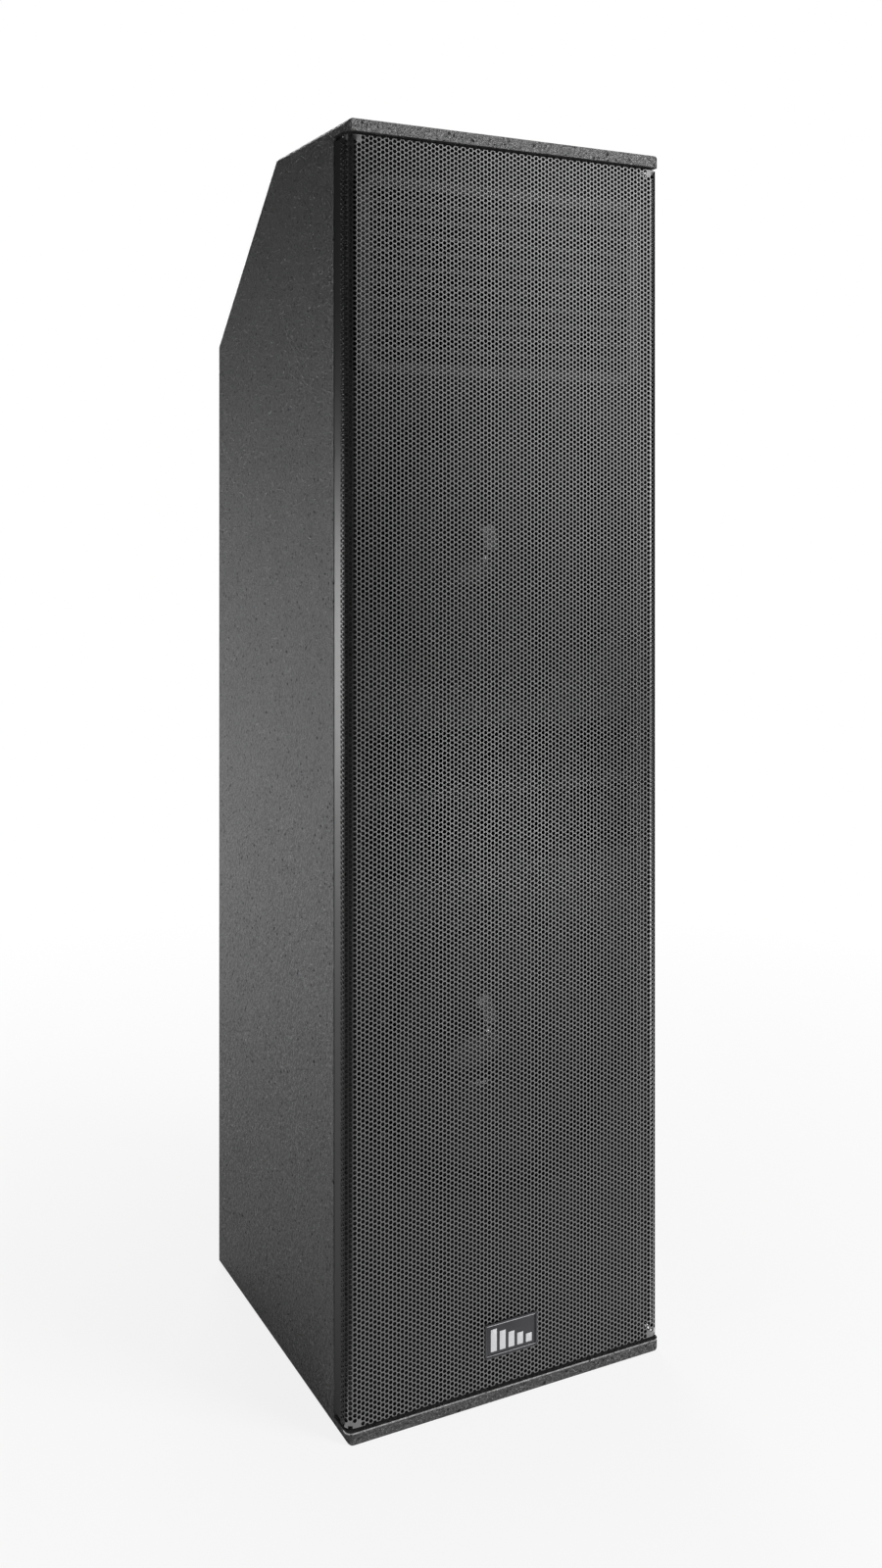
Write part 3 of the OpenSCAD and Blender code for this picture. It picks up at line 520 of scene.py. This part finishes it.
def grille_band(name, m0, m1):
    """Closed piece of the sheet between two half rows, cut through the holes there."""
    ks = np.arange(-COLUMN_K, COLUMN_K + 1)
    rows = m1 - m0 + 1
    edge_s = (np.arange(len(ks) + 1) - COLUMN_K - 0.5) * COLUMN
    edge_s = np.concatenate([[-SHEET_END], edge_s, [SHEET_END]])
    s_grid, m_grid = np.meshgrid(edge_s, np.arange(m0, m1 + 1), indexing="ij")
    points = [np.stack([s_grid.ravel(), grille_low.z + m_grid.ravel() * PITCH / 2], 1)]
    count = points[0].shape[0]
    quads, tris = [], []

    def grid(i, m):
        return i * rows + m - m0

    angles = np.radians(np.arange(0, 360, 30))
    ring = np.stack([np.cos(angles), np.sin(angles)], 1) * HOLE_R
    for i, k in enumerate(ks):
        left, right = i + 1, i + 2
        for m in range(m0 + (k - m0) % 2, m1 + 1, 2):
            kind = cell_kind(k, m)
            if kind == "gap":
                continue
            l0, r0 = grid(left, m), grid(right, m)
            if kind == "hole":
                centre = (k * COLUMN, grille_low.z + m * PITCH / 2)
                points.append(ring + centre)
                c = list(range(count, count + 12)) + [count]
                count += 12
            if m < m1:
                lt, rt = grid(left, m + 1), grid(right, m + 1)
                if kind == "solid":
                    quads.append((l0, r0, rt, lt))
                else:
                    quads += [(r0, rt, c[1], c[0]), (lt, l0, c[6], c[5])]
                    tris += [(rt, c[2], c[1]), (rt, c[3], c[2]), (rt, lt, c[3])]
                    tris += [(lt, c[4], c[3]), (lt, c[5], c[4])]
            if m > m0:
                lb, rb = grid(left, m - 1), grid(right, m - 1)
                if kind == "solid":
                    quads.append((lb, rb, r0, l0))
                else:
                    quads += [(l0, lb, c[7], c[6]), (rb, r0, c[12], c[11])]
                    tris += [(lb, c[8], c[7]), (lb, c[9], c[8]), (lb, rb, c[9])]
                    tris += [(rb, c[10], c[9]), (rb, c[11], c[10])]
    for i in (0, len(ks) + 1):
        for m in range(max(m0, 1), min(m1, 2 * HOLE_ROWS - 1)):
            quads.append((grid(i, m), grid(i + 1, m), grid(i + 1, m + 1), grid(i, m + 1)))
    return sheet_object(name, np.concatenate(points), quads, tris)


def sheet_object(name, flat, quads, tris):
    """Gives the unrolled outline its thickness, its edge walls and its bends."""
    quads, tris = np.array(quads, np.int64), np.array(tris, np.int64)
    used, again = np.unique(np.concatenate([quads.ravel(), tris.ravel()]), return_inverse=True)
    flat = flat[used]
    quads = again[: quads.size].reshape(-1, 4)
    tris = again[quads.size :].reshape(-1, 3)
    count = len(flat)
    sides = [quads[:, [j, (j + 1) % 4]] for j in range(4)]
    sides += [tris[:, [j, (j + 1) % 3]] for j in range(3)]
    sides = np.concatenate(sides)
    key = sides[:, 0] * count + sides[:, 1]
    back = sides[:, 1] * count + sides[:, 0]
    rim = sides[~np.isin(key, back)]
    walls = np.stack([rim[:, 1], rim[:, 0], rim[:, 0] + count, rim[:, 1] + count], 1)
    verts = np.zeros((2 * count, 3))
    for part, depth in ((slice(0, count), 0.0), (slice(count, None), GRILLE_T)):
        verts[part, 0], verts[part, 1] = bent(flat[:, 0], depth)
        verts[part, 2] = flat[:, 1]
    quads = np.concatenate([quads, quads[:, ::-1] + count, walls])
    tris = np.concatenate([tris, tris[:, ::-1] + count])
    return mesh_object(name, verts, quads, tris)


def build_grille(material):
    """The whole sheet, in level bands that meet without a gap."""
    step = 2 * HOLE_ROWS // BANDS
    for i in range(BANDS):
        band = grille_band(f"grille_sheet_{i + 1}", i * step, (i + 1) * step)
        finish_piece(band, material, "cabinet", "grille_steel", "grille")


# ---- badge -------------------------------------------------------------------


def build_badge():
    """Dark plate with a thin bright line above and below, and five falling level bars."""
    low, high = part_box("badge")
    face = low.y
    z = (low.z + high.z) / 2
    half_w, half_h = 29.7 * MM, 17.2 * MM
    dark = finish("badge_field", (0.010, 0.010, 0.012), 0.5, blotch=40, grain=2500,
                  depth=0.02, stretch=(1, 1, 12), specular=0.15)
    silver = finish("badge_silver", (0.22, 0.22, 0.225), 0.42, 0.85, tint=0.06, blotch=120,
                    grain=3000, depth=0.015, stretch=(1, 1, 14))

    def frame_bars(inset, width, y0, y1):
        w, h = half_w - inset, half_h - inset
        return [
            (-w, w, y0, y1, z + h - width, z + h), (-w, w, y0, y1, z - h, z - h + width),
            (-w, -w + width, y0, y1, z - h + width, z + h - width),
            (w - width, w, y0, y1, z - h + width, z + h - width),
        ]

    bezel = joined("badge_bezel", frame_bars(0, 2.0 * MM, face, face + 3.6 * MM))
    finish_piece(bezel, dark, "cabinet", "badge_metal", "badge")
    plate = joined("badge_plate", [(-half_w + MM, half_w - MM, face + 0.9 * MM, face + 3.4 * MM,
                                    z - half_h + MM, z + half_h - MM)])
    finish_piece(plate, dark, "cabinet", "badge_metal", "badge")
    rim = joined("badge_rim", frame_bars(2.0 * MM, 0.7 * MM, face + 0.5 * MM, face + 1.2 * MM)[:2])
    finish_piece(rim, silver, "cabinet", "badge_metal", "badge")
    base = z - 11 * MM
    bars = [
        (10 * MM * i - 3.4 * MM, 10 * MM * i + 3.4 * MM, face + 0.45 * MM, face + 1.2 * MM,
         base, base + (15.2 - 3.4 * i) * MM) for i in range(-2, 3)
    ]
    finish_piece(joined("badge_bars", bars), silver, "cabinet", "badge_metal", "badge")


# ---- woofers -------------------------------------------------------------------

BAFFLE_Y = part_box("upper_baffle")[0].y
CONE_R = 118 * MM
NECK_R = 38.6 * MM
CAP_R = 46 * MM
RIM_DEPTH = 1.3 * MM
CONE_SLOPE = 49.9 / 79.4
ROLL_R = 6.5 * MM
ROLL_MID = 126.5 * MM


def cone_face(radius):
    """Depth of the cone's face: straight, with five shallow ribs between cap and rim."""
    ribs = np.clip((radius - 58 * MM) / (8 * MM), 0, 1) * np.clip((112 * MM - radius) / (6 * MM), 0, 1)
    wave = 0.45 * MM * ribs * np.sin((radius - 58 * MM) * 2 * math.pi / (11 * MM))
    return RIM_DEPTH + (CONE_R - radius) * CONE_SLOPE + wave


def cone_outline():
    radii = np.linspace(CONE_R, NECK_R, 100)
    front = [(r, float(cone_face(r))) for r in radii]
    return front + [(r, d + 1.2 * MM) for r, d in reversed(front)]


def cap_outline():
    """Dome whose rim is turned out into a glued lip on the cone."""
    edge = RIM_DEPTH + (CONE_R - CAP_R) * CONE_SLOPE - 0.9 * MM
    rise = 14.6 * MM
    radii = np.linspace(0, CAP_R, 26)
    dome = [(r, edge - rise * (1 - (r / CAP_R) ** 2)) for r in radii]
    lip = [(CAP_R + 2.6 * MM, edge - 1.5 * MM), (CAP_R + 2.8 * MM, edge - 1.0 * MM)]
    inner = [(r, d + 0.7 * MM) for r, d in reversed(dome)]
    return dome + lip + inner


def surround_outline():
    """Half roll with a flat land on each side, 0.8 mm thick."""
    t = 0.8 * MM
    angles = np.radians(np.linspace(180, 360, 25))
    outer = [(ROLL_MID + ROLL_R * math.cos(a), 0.4 * MM + ROLL_R * math.sin(a)) for a in angles]
    inner = [
        (ROLL_MID + (ROLL_R - t) * math.cos(a), 1.2 * MM + (ROLL_R - t) * math.sin(a))
        for a in reversed(angles)
    ]
    return (
        [(114.6 * MM, 0.3 * MM), (117 * MM, 0.35 * MM)] + outer + [(137 * MM, 0.5 * MM)]
        + [(137 * MM, 1.3 * MM)] + inner + [(117 * MM, 1.2 * MM), (114.6 * MM, 1.2 * MM)]
    )


def spider_outline():
    """Corrugated disc, flat where it is glued at both edges."""
    inner, outer, mid = 38.9 * MM, 70 * MM, 62.2 * MM
    radii = np.linspace(inner, outer, 91)
    share = (radii - inner) / (outer - inner)
    swell = np.clip(share / 0.1, 0, 1) * np.clip((0.74 - share) / 0.1, 0, 1)
    wave = mid + 1.1 * MM * swell * np.sin(2 * math.pi * 7 * share)
    face = list(zip(radii, wave - 0.3 * MM))
    return face + [(r, d + 0.6 * MM) for r, d in reversed(face)]


def follow_radius(obj):
    """Bakes the piece's placement into its mesh."""
    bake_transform(obj)


def build_woofers():
    paper = cone_paper()
    cap = finish("dust_cap_lacquer", (0.004, 0.004, 0.004), 0.10, blotch=50, vary=0.02, grain=900,
                 depth=0.005, specular=0.14)
    cloth = woven("doped_cloth", (0.004, 0.004, 0.004), 0.5, 900, 0.05, 0.04)
    spider_cloth = woven("spider_cloth", (0.52, 0.36, 0.15), 0.75, 800, 0.08)
    for which in WOOFERS:
        low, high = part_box(which + "_cone")
        centre = (0, BAFFLE_Y, (low.z + high.z) / 2)
        body = which + "_cone_body"
        cone = lathe(which + "_paper_cone", cone_outline(), centre, 144)
        finish_piece(cone, paper, body, "cone_paper", which + "_cone")
        dome = lathe(which + "_cap_dome", cap_outline(), centre, 120)
        finish_piece(dome, cap, body, "cone_paper", which + "_dust_cap")
        roll = lathe(which + "_surround_roll", surround_outline(), centre, 160)
        follow_radius(roll)
        finish_piece(roll, cloth, None, "surround_cloth", which + "_surround")
        disc = lathe(which + "_spider_disc", spider_outline(), centre, 120)
        follow_radius(disc)
        finish_piece(disc, spider_cloth, None, "spider_cloth", which + "_spider")


# ---- wadding and wires -----------------------------------------------------------


def build_wadding():
    """Puffed polyester pads on the side walls of the two woofer chambers."""
    low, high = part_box("acoustic_lining")
    chamber_gap = [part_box("port_lower_shelf")[0].z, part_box("port_upper_shelf")[1].z]
    stuff = finish("polyester_wadding", (0.022, 0.022, 0.023), 0.95, blotch=25, grain=260, depth=1.2,
                   specular=0.1)
    spans = [(low.z, chamber_gap[0] - 3 * MM), (chamber_gap[1] + 3 * MM, high.z)]
    thickness = 22 * MM
    for side, name in ((-1, "left"), (1, "right")):
        for (z0, z1), level in zip(spans, ("lower", "upper")):
            pad = wadding_pad(f"wadding_{level}_{name}", side, (low.y, high.y), (z0, z1), thickness)
            finish_piece(pad, stuff, "cabinet", "wadding", "acoustic_lining")


def wadding_pad(name, side, ys, zs, thickness):
    """Closed pad, flat on its wall and uneven on its free face, thin at its edges."""
    columns, rows = 24, 64
    u, v = np.meshgrid(np.linspace(0, 1, columns), np.linspace(0, 1, rows), indexing="ij")
    edge = np.minimum(np.minimum(u, 1 - u) * (columns - 1) / 3, np.minimum(v, 1 - v) * (rows - 1) / 3)
    puff = np.sqrt(np.clip(edge, 0, 1) * (2 - np.clip(edge, 0, 1)))
    lumps = 0.5 + 0.25 * np.sin(17 * u + 3 * np.sin(9 * v)) + 0.25 * np.sin(31 * v + 2 * np.sin(13 * u))
    depth = thickness * (0.12 + puff * (0.68 + 0.2 * lumps))
    y, z = ys[0] + u * (ys[1] - ys[0]), zs[0] + v * (zs[1] - zs[0])
    wall = side * abs(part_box("acoustic_lining")[0].x)
    free = np.stack([wall - side * depth, y, z], -1).reshape(-1, 3)
    back = np.stack([np.full_like(y, wall), y, z], -1).reshape(-1, 3)
    count = columns * rows
    quads = []
    for i in range(columns - 1):
        for j in range(rows - 1):
            a = i * rows + j
            quads.append((a, a + rows, a + rows + 1, a + 1))
            quads.append((a + count, a + count + 1, a + count + rows + 1, a + count + rows))
    rim = [i * rows for i in range(columns)] + [(columns - 1) * rows + j for j in range(1, rows)]
    rim += [i * rows + rows - 1 for i in range(columns - 2, -1, -1)]
    rim += [j for j in range(rows - 2, 0, -1)]
    for a, b in zip(rim, rim[1:] + rim[:1]):
        quads.append((a, a + count, b + count, b))
    return outward(mesh_object(name, np.concatenate([free, back]), quads))


def build_wires():
    """Harness from the amplifier to the three drivers, in round bends."""
    x, y = 70 * MM, 62 * MM
    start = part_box("amp_chassis")[0].y + 9.8 * MM
    out_z = 472 * MM
    horn_z = (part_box("horn")[0].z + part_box("horn")[1].z) / 2
    tag_y = BAFFLE_Y + 66.8 * MM
    trunk = [(x, start, out_z), (x, y + 14 * MM, out_z), (x, y, out_z + 14 * MM), (x, y, 700 * MM),
             (x, y, 900 * MM), (x, y, 1040 * MM), (x - 6 * MM, y - 14 * MM, 1070 * MM),
             (51 * MM, 20 * MM, horn_z)]
    routes, radii = [trunk], [3.4 * MM]
    for which, bend in (("lower", -1), ("upper", 1)):
        low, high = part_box(which + "_cone")
        z = (low.z + high.z) / 2 + 45 * MM
        turn = 16 * MM
        routes.append([(x, y, out_z + bend * 20 * MM), (x, y, z - bend * turn),
                       (x + 2 * MM, y - turn * 0.7, z), (78 * MM, 30 * MM, z),
                       (78 * MM, (30 * MM + tag_y) / 2, z), (78 * MM, tag_y, z)])
        radii.append(1.9 * MM)
    wires = tube("wire_harness", routes, radii)
    rubber = finish("wire_rubber", (0.025, 0.025, 0.025), 0.45, blotch=200, grain=2000, depth=0.02)
    finish_piece(wires, rubber, "cabinet", "wire_rubber", "speaker_wires")


# ---- rear module -------------------------------------------------------------------


def build_knob():
    """Fluted knob with a white line inlaid, and the ticks of its scale on the tray."""
    low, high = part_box("level_knob")
    x, z = (low.x + high.x) / 2, (low.z + high.z) / 2
    tray_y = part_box("heatsink")[0].y
    skirt, grip = 11 * MM, 8.5 * MM
    front = high.y - tray_y

    def flutes(radius, depth, angle):
        cut = (depth > 4.6 * MM) & (radius > 6 * MM)
        return radius - np.where(cut, 0.55 * MM * (0.5 - 0.5 * np.cos(20 * angle)) ** 2, 0), depth

    outline = [
        (0, -8 * MM), (3.9 * MM, -8 * MM), (3.9 * MM, 1 * MM), (skirt - 0.3 * MM, 1 * MM),
        (skirt, 1.3 * MM), (skirt, 2.6 * MM), (skirt - 0.6 * MM, 3.6 * MM), (grip + 0.6 * MM, 4 * MM),
        (grip + 0.05 * MM, 4.5 * MM), (grip, 4.8 * MM), (grip - 0.2 * MM, front - 1.1 * MM),
        (grip - 0.9 * MM, front - 0.25 * MM), (grip - 1.8 * MM, front), (0, front),
    ]
    knob = lathe("knob_grip", outline, (x, tray_y, z), 160, flutes)
    finish_piece(knob, finish("knob_plastic", (0.025, 0.025, 0.026), 0.38), "knob_body",
                 "black_plastic", "level_knob")
    white = finish("white_ink", (0.78, 0.78, 0.76), 0.5, blotch=300, tint=0.05)
    line = joined("knob_pointer", [(x - 0.5 * MM, x + 0.5 * MM, high.y - 0.5 * MM,
                                    high.y + 0.05 * MM, z + 2 * MM, z + 6.6 * MM)])
    finish_piece(line, white, "knob_body", "black_plastic", "level_knob")
    start, ways = 150, 11
    ticks, corners = [], []
    for i in range(ways):
        turn = math.radians(90 + start - 2 * start * i / (ways - 1))
        inner, outer, half = 12.6 * MM, (15.4 if i % 5 == 0 else 14.4) * MM, 0.25 * MM
        along, beside = (math.cos(turn), math.sin(turn)), (-math.sin(turn), math.cos(turn))
        for depth in (-0.05 * MM, 0.06 * MM):
            for r, s in ((inner, -half), (inner, half), (outer, half), (outer, -half)):
                corners.append((x + r * along[0] + s * beside[0], tray_y + depth,
                                z + r * along[1] + s * beside[1]))
        a = 8 * i
        ticks += [(a, a + 1, a + 2, a + 3), (a + 4, a + 7, a + 6, a + 5)]
        ticks += [(a + j, a + (j + 1) % 4, a + 4 + (j + 1) % 4, a + 4 + j) for j in range(4)]
    scale = outward(mesh_object("knob_scale", corners, ticks))
    finish_piece(scale, white, "cabinet", "tray_paint")


# ---- amplifier board ------------------------------------------------------------------


def rod_outline(radius, depth, edge):
    """Outline of a cylinder with rounded rims."""
    return [(0, 0), (radius - edge, 0), (radius - edge * 0.3, edge * 0.3), (radius, edge),
            (radius, depth - edge), (radius - edge * 0.3, depth - edge * 0.3),
            (radius - edge, depth), (0, depth)]


def board_piece(obj, material):
    finish_piece(obj, material, "cabinet", "circuit_board", "amplifier_board")


def build_transformer(top, mid_z):
    """Ring core standing on the board, its turns showing through the tape."""
    ring_mid, ring_r, ring_y = 30 * MM, 16 * MM, 19 * MM
    ring = [(14 * MM, 6 * MM)]
    ring += [(ring_mid + ring_r * math.cos(a), ring_y - 18.5 * MM * math.sin(a))
             for a in np.radians(np.linspace(180, -180, 25))][1:-1]
    core = lathe("ring_transformer", ring, (30 * MM, top, mid_z - 70 * MM), 96,
                 lambda r, d, a: (r + 0.35 * MM * np.abs(np.sin(24 * a)), d))
    tape = finish("transformer_tape", (0.55, 0.38, 0.06), 0.35, blotch=120, grain=700, depth=0.1)
    board_piece(core, tape)


def build_capacitors(top, mid_z):
    """Four cans in two rows, each with a rolled groove near its foot."""
    can_r = 12.5 * MM
    outline = [(0, 0), (12.2 * MM, 0), (can_r, 1 * MM), (12.1 * MM, 3 * MM),
               (can_r, 4.4 * MM), (can_r, 40.6 * MM), (11.7 * MM, 41.8 * MM),
               (10.6 * MM, 41.9 * MM), (10.3 * MM, 41.4 * MM), (0, 41.4 * MM)]
    sleeve = finish("capacitor_sleeve", (0.02, 0.03, 0.08), 0.25, blotch=60, grain=900)
    for i, (dx, dz) in enumerate([(x, z) for x in (-66, -36) for z in (-112, -78)]):
        can = lathe(f"capacitor_{i + 1}", outline, (dx * MM, top, mid_z + dz * MM), 48)
        board_piece(can, sleeve)


def build_coils(top, mid_z):
    copper = winding("filter_winding", (0.80, 0.38, 0.18), 900)
    outline = rod_outline(11 * MM, 12.4 * MM, 1.5 * MM)
    for i, dx in enumerate((-60, -20, 20)):
        coil = lathe(f"filter_coil_{i + 1}", outline, (dx * MM, top, mid_z + 30 * MM), 48)
        board_piece(coil, copper)


def build_packages(board_y, top, mid_z):
    """Three power transistors in a column and one flat module."""
    black = finish("moulded_package", (0.02, 0.02, 0.02), 0.5)
    packages = [(60 * MM, 76 * MM, top, board_y + 20 * MM, mid_z + z * MM, mid_z + (z + 16) * MM)
                for z in (0, 24, 48)]
    packages.append((-80 * MM, -48 * MM, top, board_y + 12 * MM, mid_z + 78 * MM, mid_z + 92 * MM))
    board_piece(joined("power_packages", packages), black)


def build_board():
    """Power board and control strip, with the parts that stand on them."""
    tray_low, tray_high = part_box("amp_tray")
    mid_z = (tray_low.z + tray_high.z) / 2
    board_t = 1.6 * MM
    board_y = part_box("amplifier_board")[0].y + 8.5 * MM
    top = board_y + board_t
    control_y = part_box("amp_chassis")[1].y - 24.5 * MM
    knob_low, knob_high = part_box("level_knob")
    knob_x, row_z = (knob_low.x + knob_high.x) / 2, (knob_low.z + knob_high.z) / 2
    boards = [
        (-92 * MM, 92 * MM, board_y, top, mid_z - 140 * MM, mid_z + 110 * MM),
        (-96 * MM, 96 * MM, control_y, control_y + board_t, row_z - 17 * MM, row_z + 17 * MM),
    ]
    green = solder_mask()
    board_piece(joined("circuit_boards", boards), green)
    build_transformer(top, mid_z)
    build_capacitors(top, mid_z)
    build_coils(top, mid_z)
    build_packages(board_y, top, mid_z)
    pot = lathe("level_potentiometer", rod_outline(9 * MM, 10.4 * MM, 0.8 * MM),
                (knob_x, control_y + board_t, row_z), 48)
    board_piece(pot, turned_metal("pot_can", (0.62, 0.62, 0.64), 0.35))


# ---- paint the CAD nodes ------------------------------------------------------


def dress(material, *names):
    """Puts one material on CAD nodes."""
    for name in names:
        obj = NODES[name]
        if not obj.material_slots:
            obj.data.materials.append(material)
        for s in obj.material_slots:
            s.material = material


def both(*ends):
    """The names of the same nodes on the two woofers."""
    return [which + "_" + end for which in WOOFERS for end in ends]


def dress_all():
    # these outer panels get painted shade on their faces inside the cabinet
    dress(
        textured_paint("textured_paint", True), "top_panel", "bottom_panel", "left_side_panel",
        "right_side_panel", "back_panel",
    )
    dress(textured_paint("textured_paint_slope", False), "sloped_back_panel")
    dress(
        painted_board(), "upper_baffle", "lower_baffle", "port_upper_shelf",
        "port_divider", "port_lower_shelf", "port_side_cheeks",
    )
    dress(bare_plywood(), "horn_chamber_shelf")
    dress(foam("gasket_foam", (0.004, 0.004, 0.004), 900, 0.15), "grille_foam_strips",
          *both("gasket"))
    dress(turned_metal("brass", (0.78, 0.58, 0.26), 0.3), "rigging_inserts")
    dress(finish("black_oxide", (0.006, 0.006, 0.006), 0.45, blotch=500, specular=0.12),
          "driver_screws")
    dress(finish("black_zinc", (0.030, 0.030, 0.032), 0.35, 0.5, blotch=500), "amp_tray_screws")
    dress(finish("horn_plastic", (0.006, 0.006, 0.006), 0.40, blotch=60, depth=0.04,
                 specular=0.15), "horn", "horn_vanes")
    dress(finish("moulded_black", (0.03, 0.03, 0.03), 0.45), "hf_phase_plug", "hf_rear_cover",
          "input_socket", "link_socket", "mains_inlet", "power_switch_housing")
    dress(turned_metal("zinc_plate", (0.58, 0.58, 0.60), 0.35), "hf_front_plate",
          *both("front_plate", "pole_yoke"))
    dress(finish("chassis_paint", (0.008, 0.008, 0.008), 0.55, blotch=60, specular=0.1),
          "amp_chassis")
    dress(finish("ground_ferrite", (0.055, 0.055, 0.06), 0.6, tint=0.2, blotch=200, grain=900,
                 depth=0.06), "hf_magnet", *both("magnet"))
    dress(turned_metal("formed_foil", (0.75, 0.74, 0.70), 0.25), "hf_diaphragm")
    dress(finish("basket_paint", (0.005, 0.005, 0.005), 0.5, blotch=120, grain=700, depth=0.12,
                 specular=0.08), *both("frame"))
    dress(winding("voice_coil_copper", (0.80, 0.40, 0.20), 2500), *both("voice_coil"))
    dress(finish("tray_powder", (0.035, 0.035, 0.036), 0.5, blotch=40, grain=1100, depth=0.08),
          "amp_tray")
    dress(finish("black_anodise", (0.030, 0.030, 0.033), 0.36, 0.5, blotch=60, grain=900,
                 depth=0.04, stretch=(1, 1, 0.05)), "heatsink")
    dress(turned_metal("nickel", (0.66, 0.65, 0.62), 0.28), "input_latch")
    dress(finish("rocker_red", (0.50, 0.025, 0.02), 0.3, tint=0.08), "power_rocker")
    dress(lens("green_lens", (0.10, 0.75, 0.20), 0.6), "status_light")


# ---- stage ---------------------------------------------------------------------


def area_light(name, at, target, size, watts):
    """Rectangular soft light aimed at a point, not seen by the camera itself."""
    data = bpy.data.lights.new(name, "AREA")
    data.shape = "RECTANGLE"
    data.size, data.size_y = size
    data.energy = watts
    obj = bpy.data.objects.new(name, data)
    obj.location = at
    obj.rotation_mode = "QUATERNION"
    obj.rotation_quaternion = (Vector(target) - Vector(at)).to_track_quat("-Z", "Y")
    obj.visible_camera = False
    bpy.context.scene.collection.objects.link(obj)


def build_floor():
    """Pale floor that fades into the white surroundings away from the cabinet."""
    reach = 14.0
    mesh = bpy.data.meshes.new("floor")
    mesh.from_pydata(
        [(-reach, -reach, 0), (reach, -reach, 0), (reach, reach, 0), (-reach, reach, 0)],
        [], [(0, 1, 2, 3)],
    )
    floor = bpy.data.objects.new("floor", mesh)
    bpy.context.scene.collection.objects.link(floor)
    mat, tree, shader = new_material("floor_paint", (0.88, 0.88, 0.88), 0.7, specular=0.2)
    at = place(tree)
    tree.links.new(spread(tree, noise(tree, at, 3, 2.0), 0.65, 0.75), shader.inputs["Roughness"])
    distance = add(tree, "VectorMath", operation="LENGTH")
    tree.links.new(at, distance.inputs[0])
    far = spread(tree, distance.outputs["Value"], 0.85, 1.0, 0.3, 1.6)
    path = add(tree, "LightPath")
    share = math_node(tree, "MULTIPLY", far, path.outputs["Is Camera Ray"])
    white = add(tree, "Emission")
    white.inputs["Strength"].default_value = 1.0
    mix = add(tree, "MixShader")
    tree.links.new(share, mix.inputs["Fac"])
    tree.links.new(shader.outputs["BSDF"], mix.inputs[1])
    tree.links.new(white.outputs["Emission"], mix.inputs[2])
    tree.links.new(mix.outputs["Shader"], tree.nodes["Material Output"].inputs["Surface"])
    mesh.materials.append(mat)


def build_surroundings(light):
    """White to the camera, and a dim grey light from all round."""
    world = bpy.data.worlds.new("studio")
    bpy.context.scene.world = world
    world.use_nodes = True
    tree = world.node_tree
    background = tree.nodes["Background"]
    background.inputs["Color"].default_value = (1, 1, 1, 1)
    background.inputs["Strength"].default_value = light
    seen = tree.nodes.new("ShaderNodeBackground")
    seen.inputs["Color"].default_value = (1, 1, 1, 1)
    seen.inputs["Strength"].default_value = 1.0
    path = tree.nodes.new("ShaderNodeLightPath")
    mix = tree.nodes.new("ShaderNodeMixShader")
    tree.links.new(path.outputs["Is Camera Ray"], mix.inputs["Fac"])
    tree.links.new(background.outputs[0], mix.inputs[1])
    tree.links.new(seen.outputs[0], mix.inputs[2])
    tree.links.new(mix.outputs[0], tree.nodes["World Output"].inputs["Surface"])


def build_lights():
    """Soft panels placed where the glossy grille and the left side mirror them."""
    area_light("front_panel", (1.65, -2.35, 1.35), (0, -0.19, 0.95), (1.2, 1.7), 60)
    area_light("front_top", (1.45, -2.30, 1.95), (0, -0.19, 1.20), (1.2, 0.35), 15)
    area_light("floor_card", (0.47, -0.93, 0.01), (0.47, -0.93, 1.0), (1.4, 1.50), 17)
    area_light("low_kicker", (1.0, -2.0, 0.16), (0, -0.15, 0.35), (0.16, 0.14), 8)
    area_light("ceiling", (0, 0, 4.2), (0, 0, 0), (4.0, 4.0), 7)
    area_light("left_fill", (-3.2, -0.2, 2.4), (0, 0, 0.6), (1.6, 1.6), 15)
    area_light("left_panel", (-1.75, 2.25, 0.48), (-0.2, 0, 0.55), (0.9, 0.70), 16)
    area_light("rear", (0.8, 3.2, 2.0), (0, 0, 0.65), (1.6, 1.5), 45)


CAMERA_AT = (-0.731, -1.470, 0.890)
CAMERA_YAW = 27.0


def build_camera():
    """Level camera to the left of the front, its frame shifted down to the cabinet."""
    data = bpy.data.cameras.new("camera")
    data.sensor_width = 36.0
    data.lens = 34.0
    data.shift_y = -0.181
    data.clip_start, data.clip_end = 0.05, 60
    obj = bpy.data.objects.new("camera", data)
    obj.location = CAMERA_AT
    obj.rotation_euler = (math.radians(90), 0, -math.radians(CAMERA_YAW))
    bpy.context.scene.collection.objects.link(obj)
    bpy.context.scene.camera = obj
    bpy.context.scene.view_settings.view_transform = "Standard"


build_camera()
build_floor()
build_surroundings(0.03)
build_lights()
dress_all()
build_grille(powder_coat("grille_coat", 0.010, 0.34))
build_badge()
build_woofers()
build_wadding()
build_wires()
build_knob()
build_board()
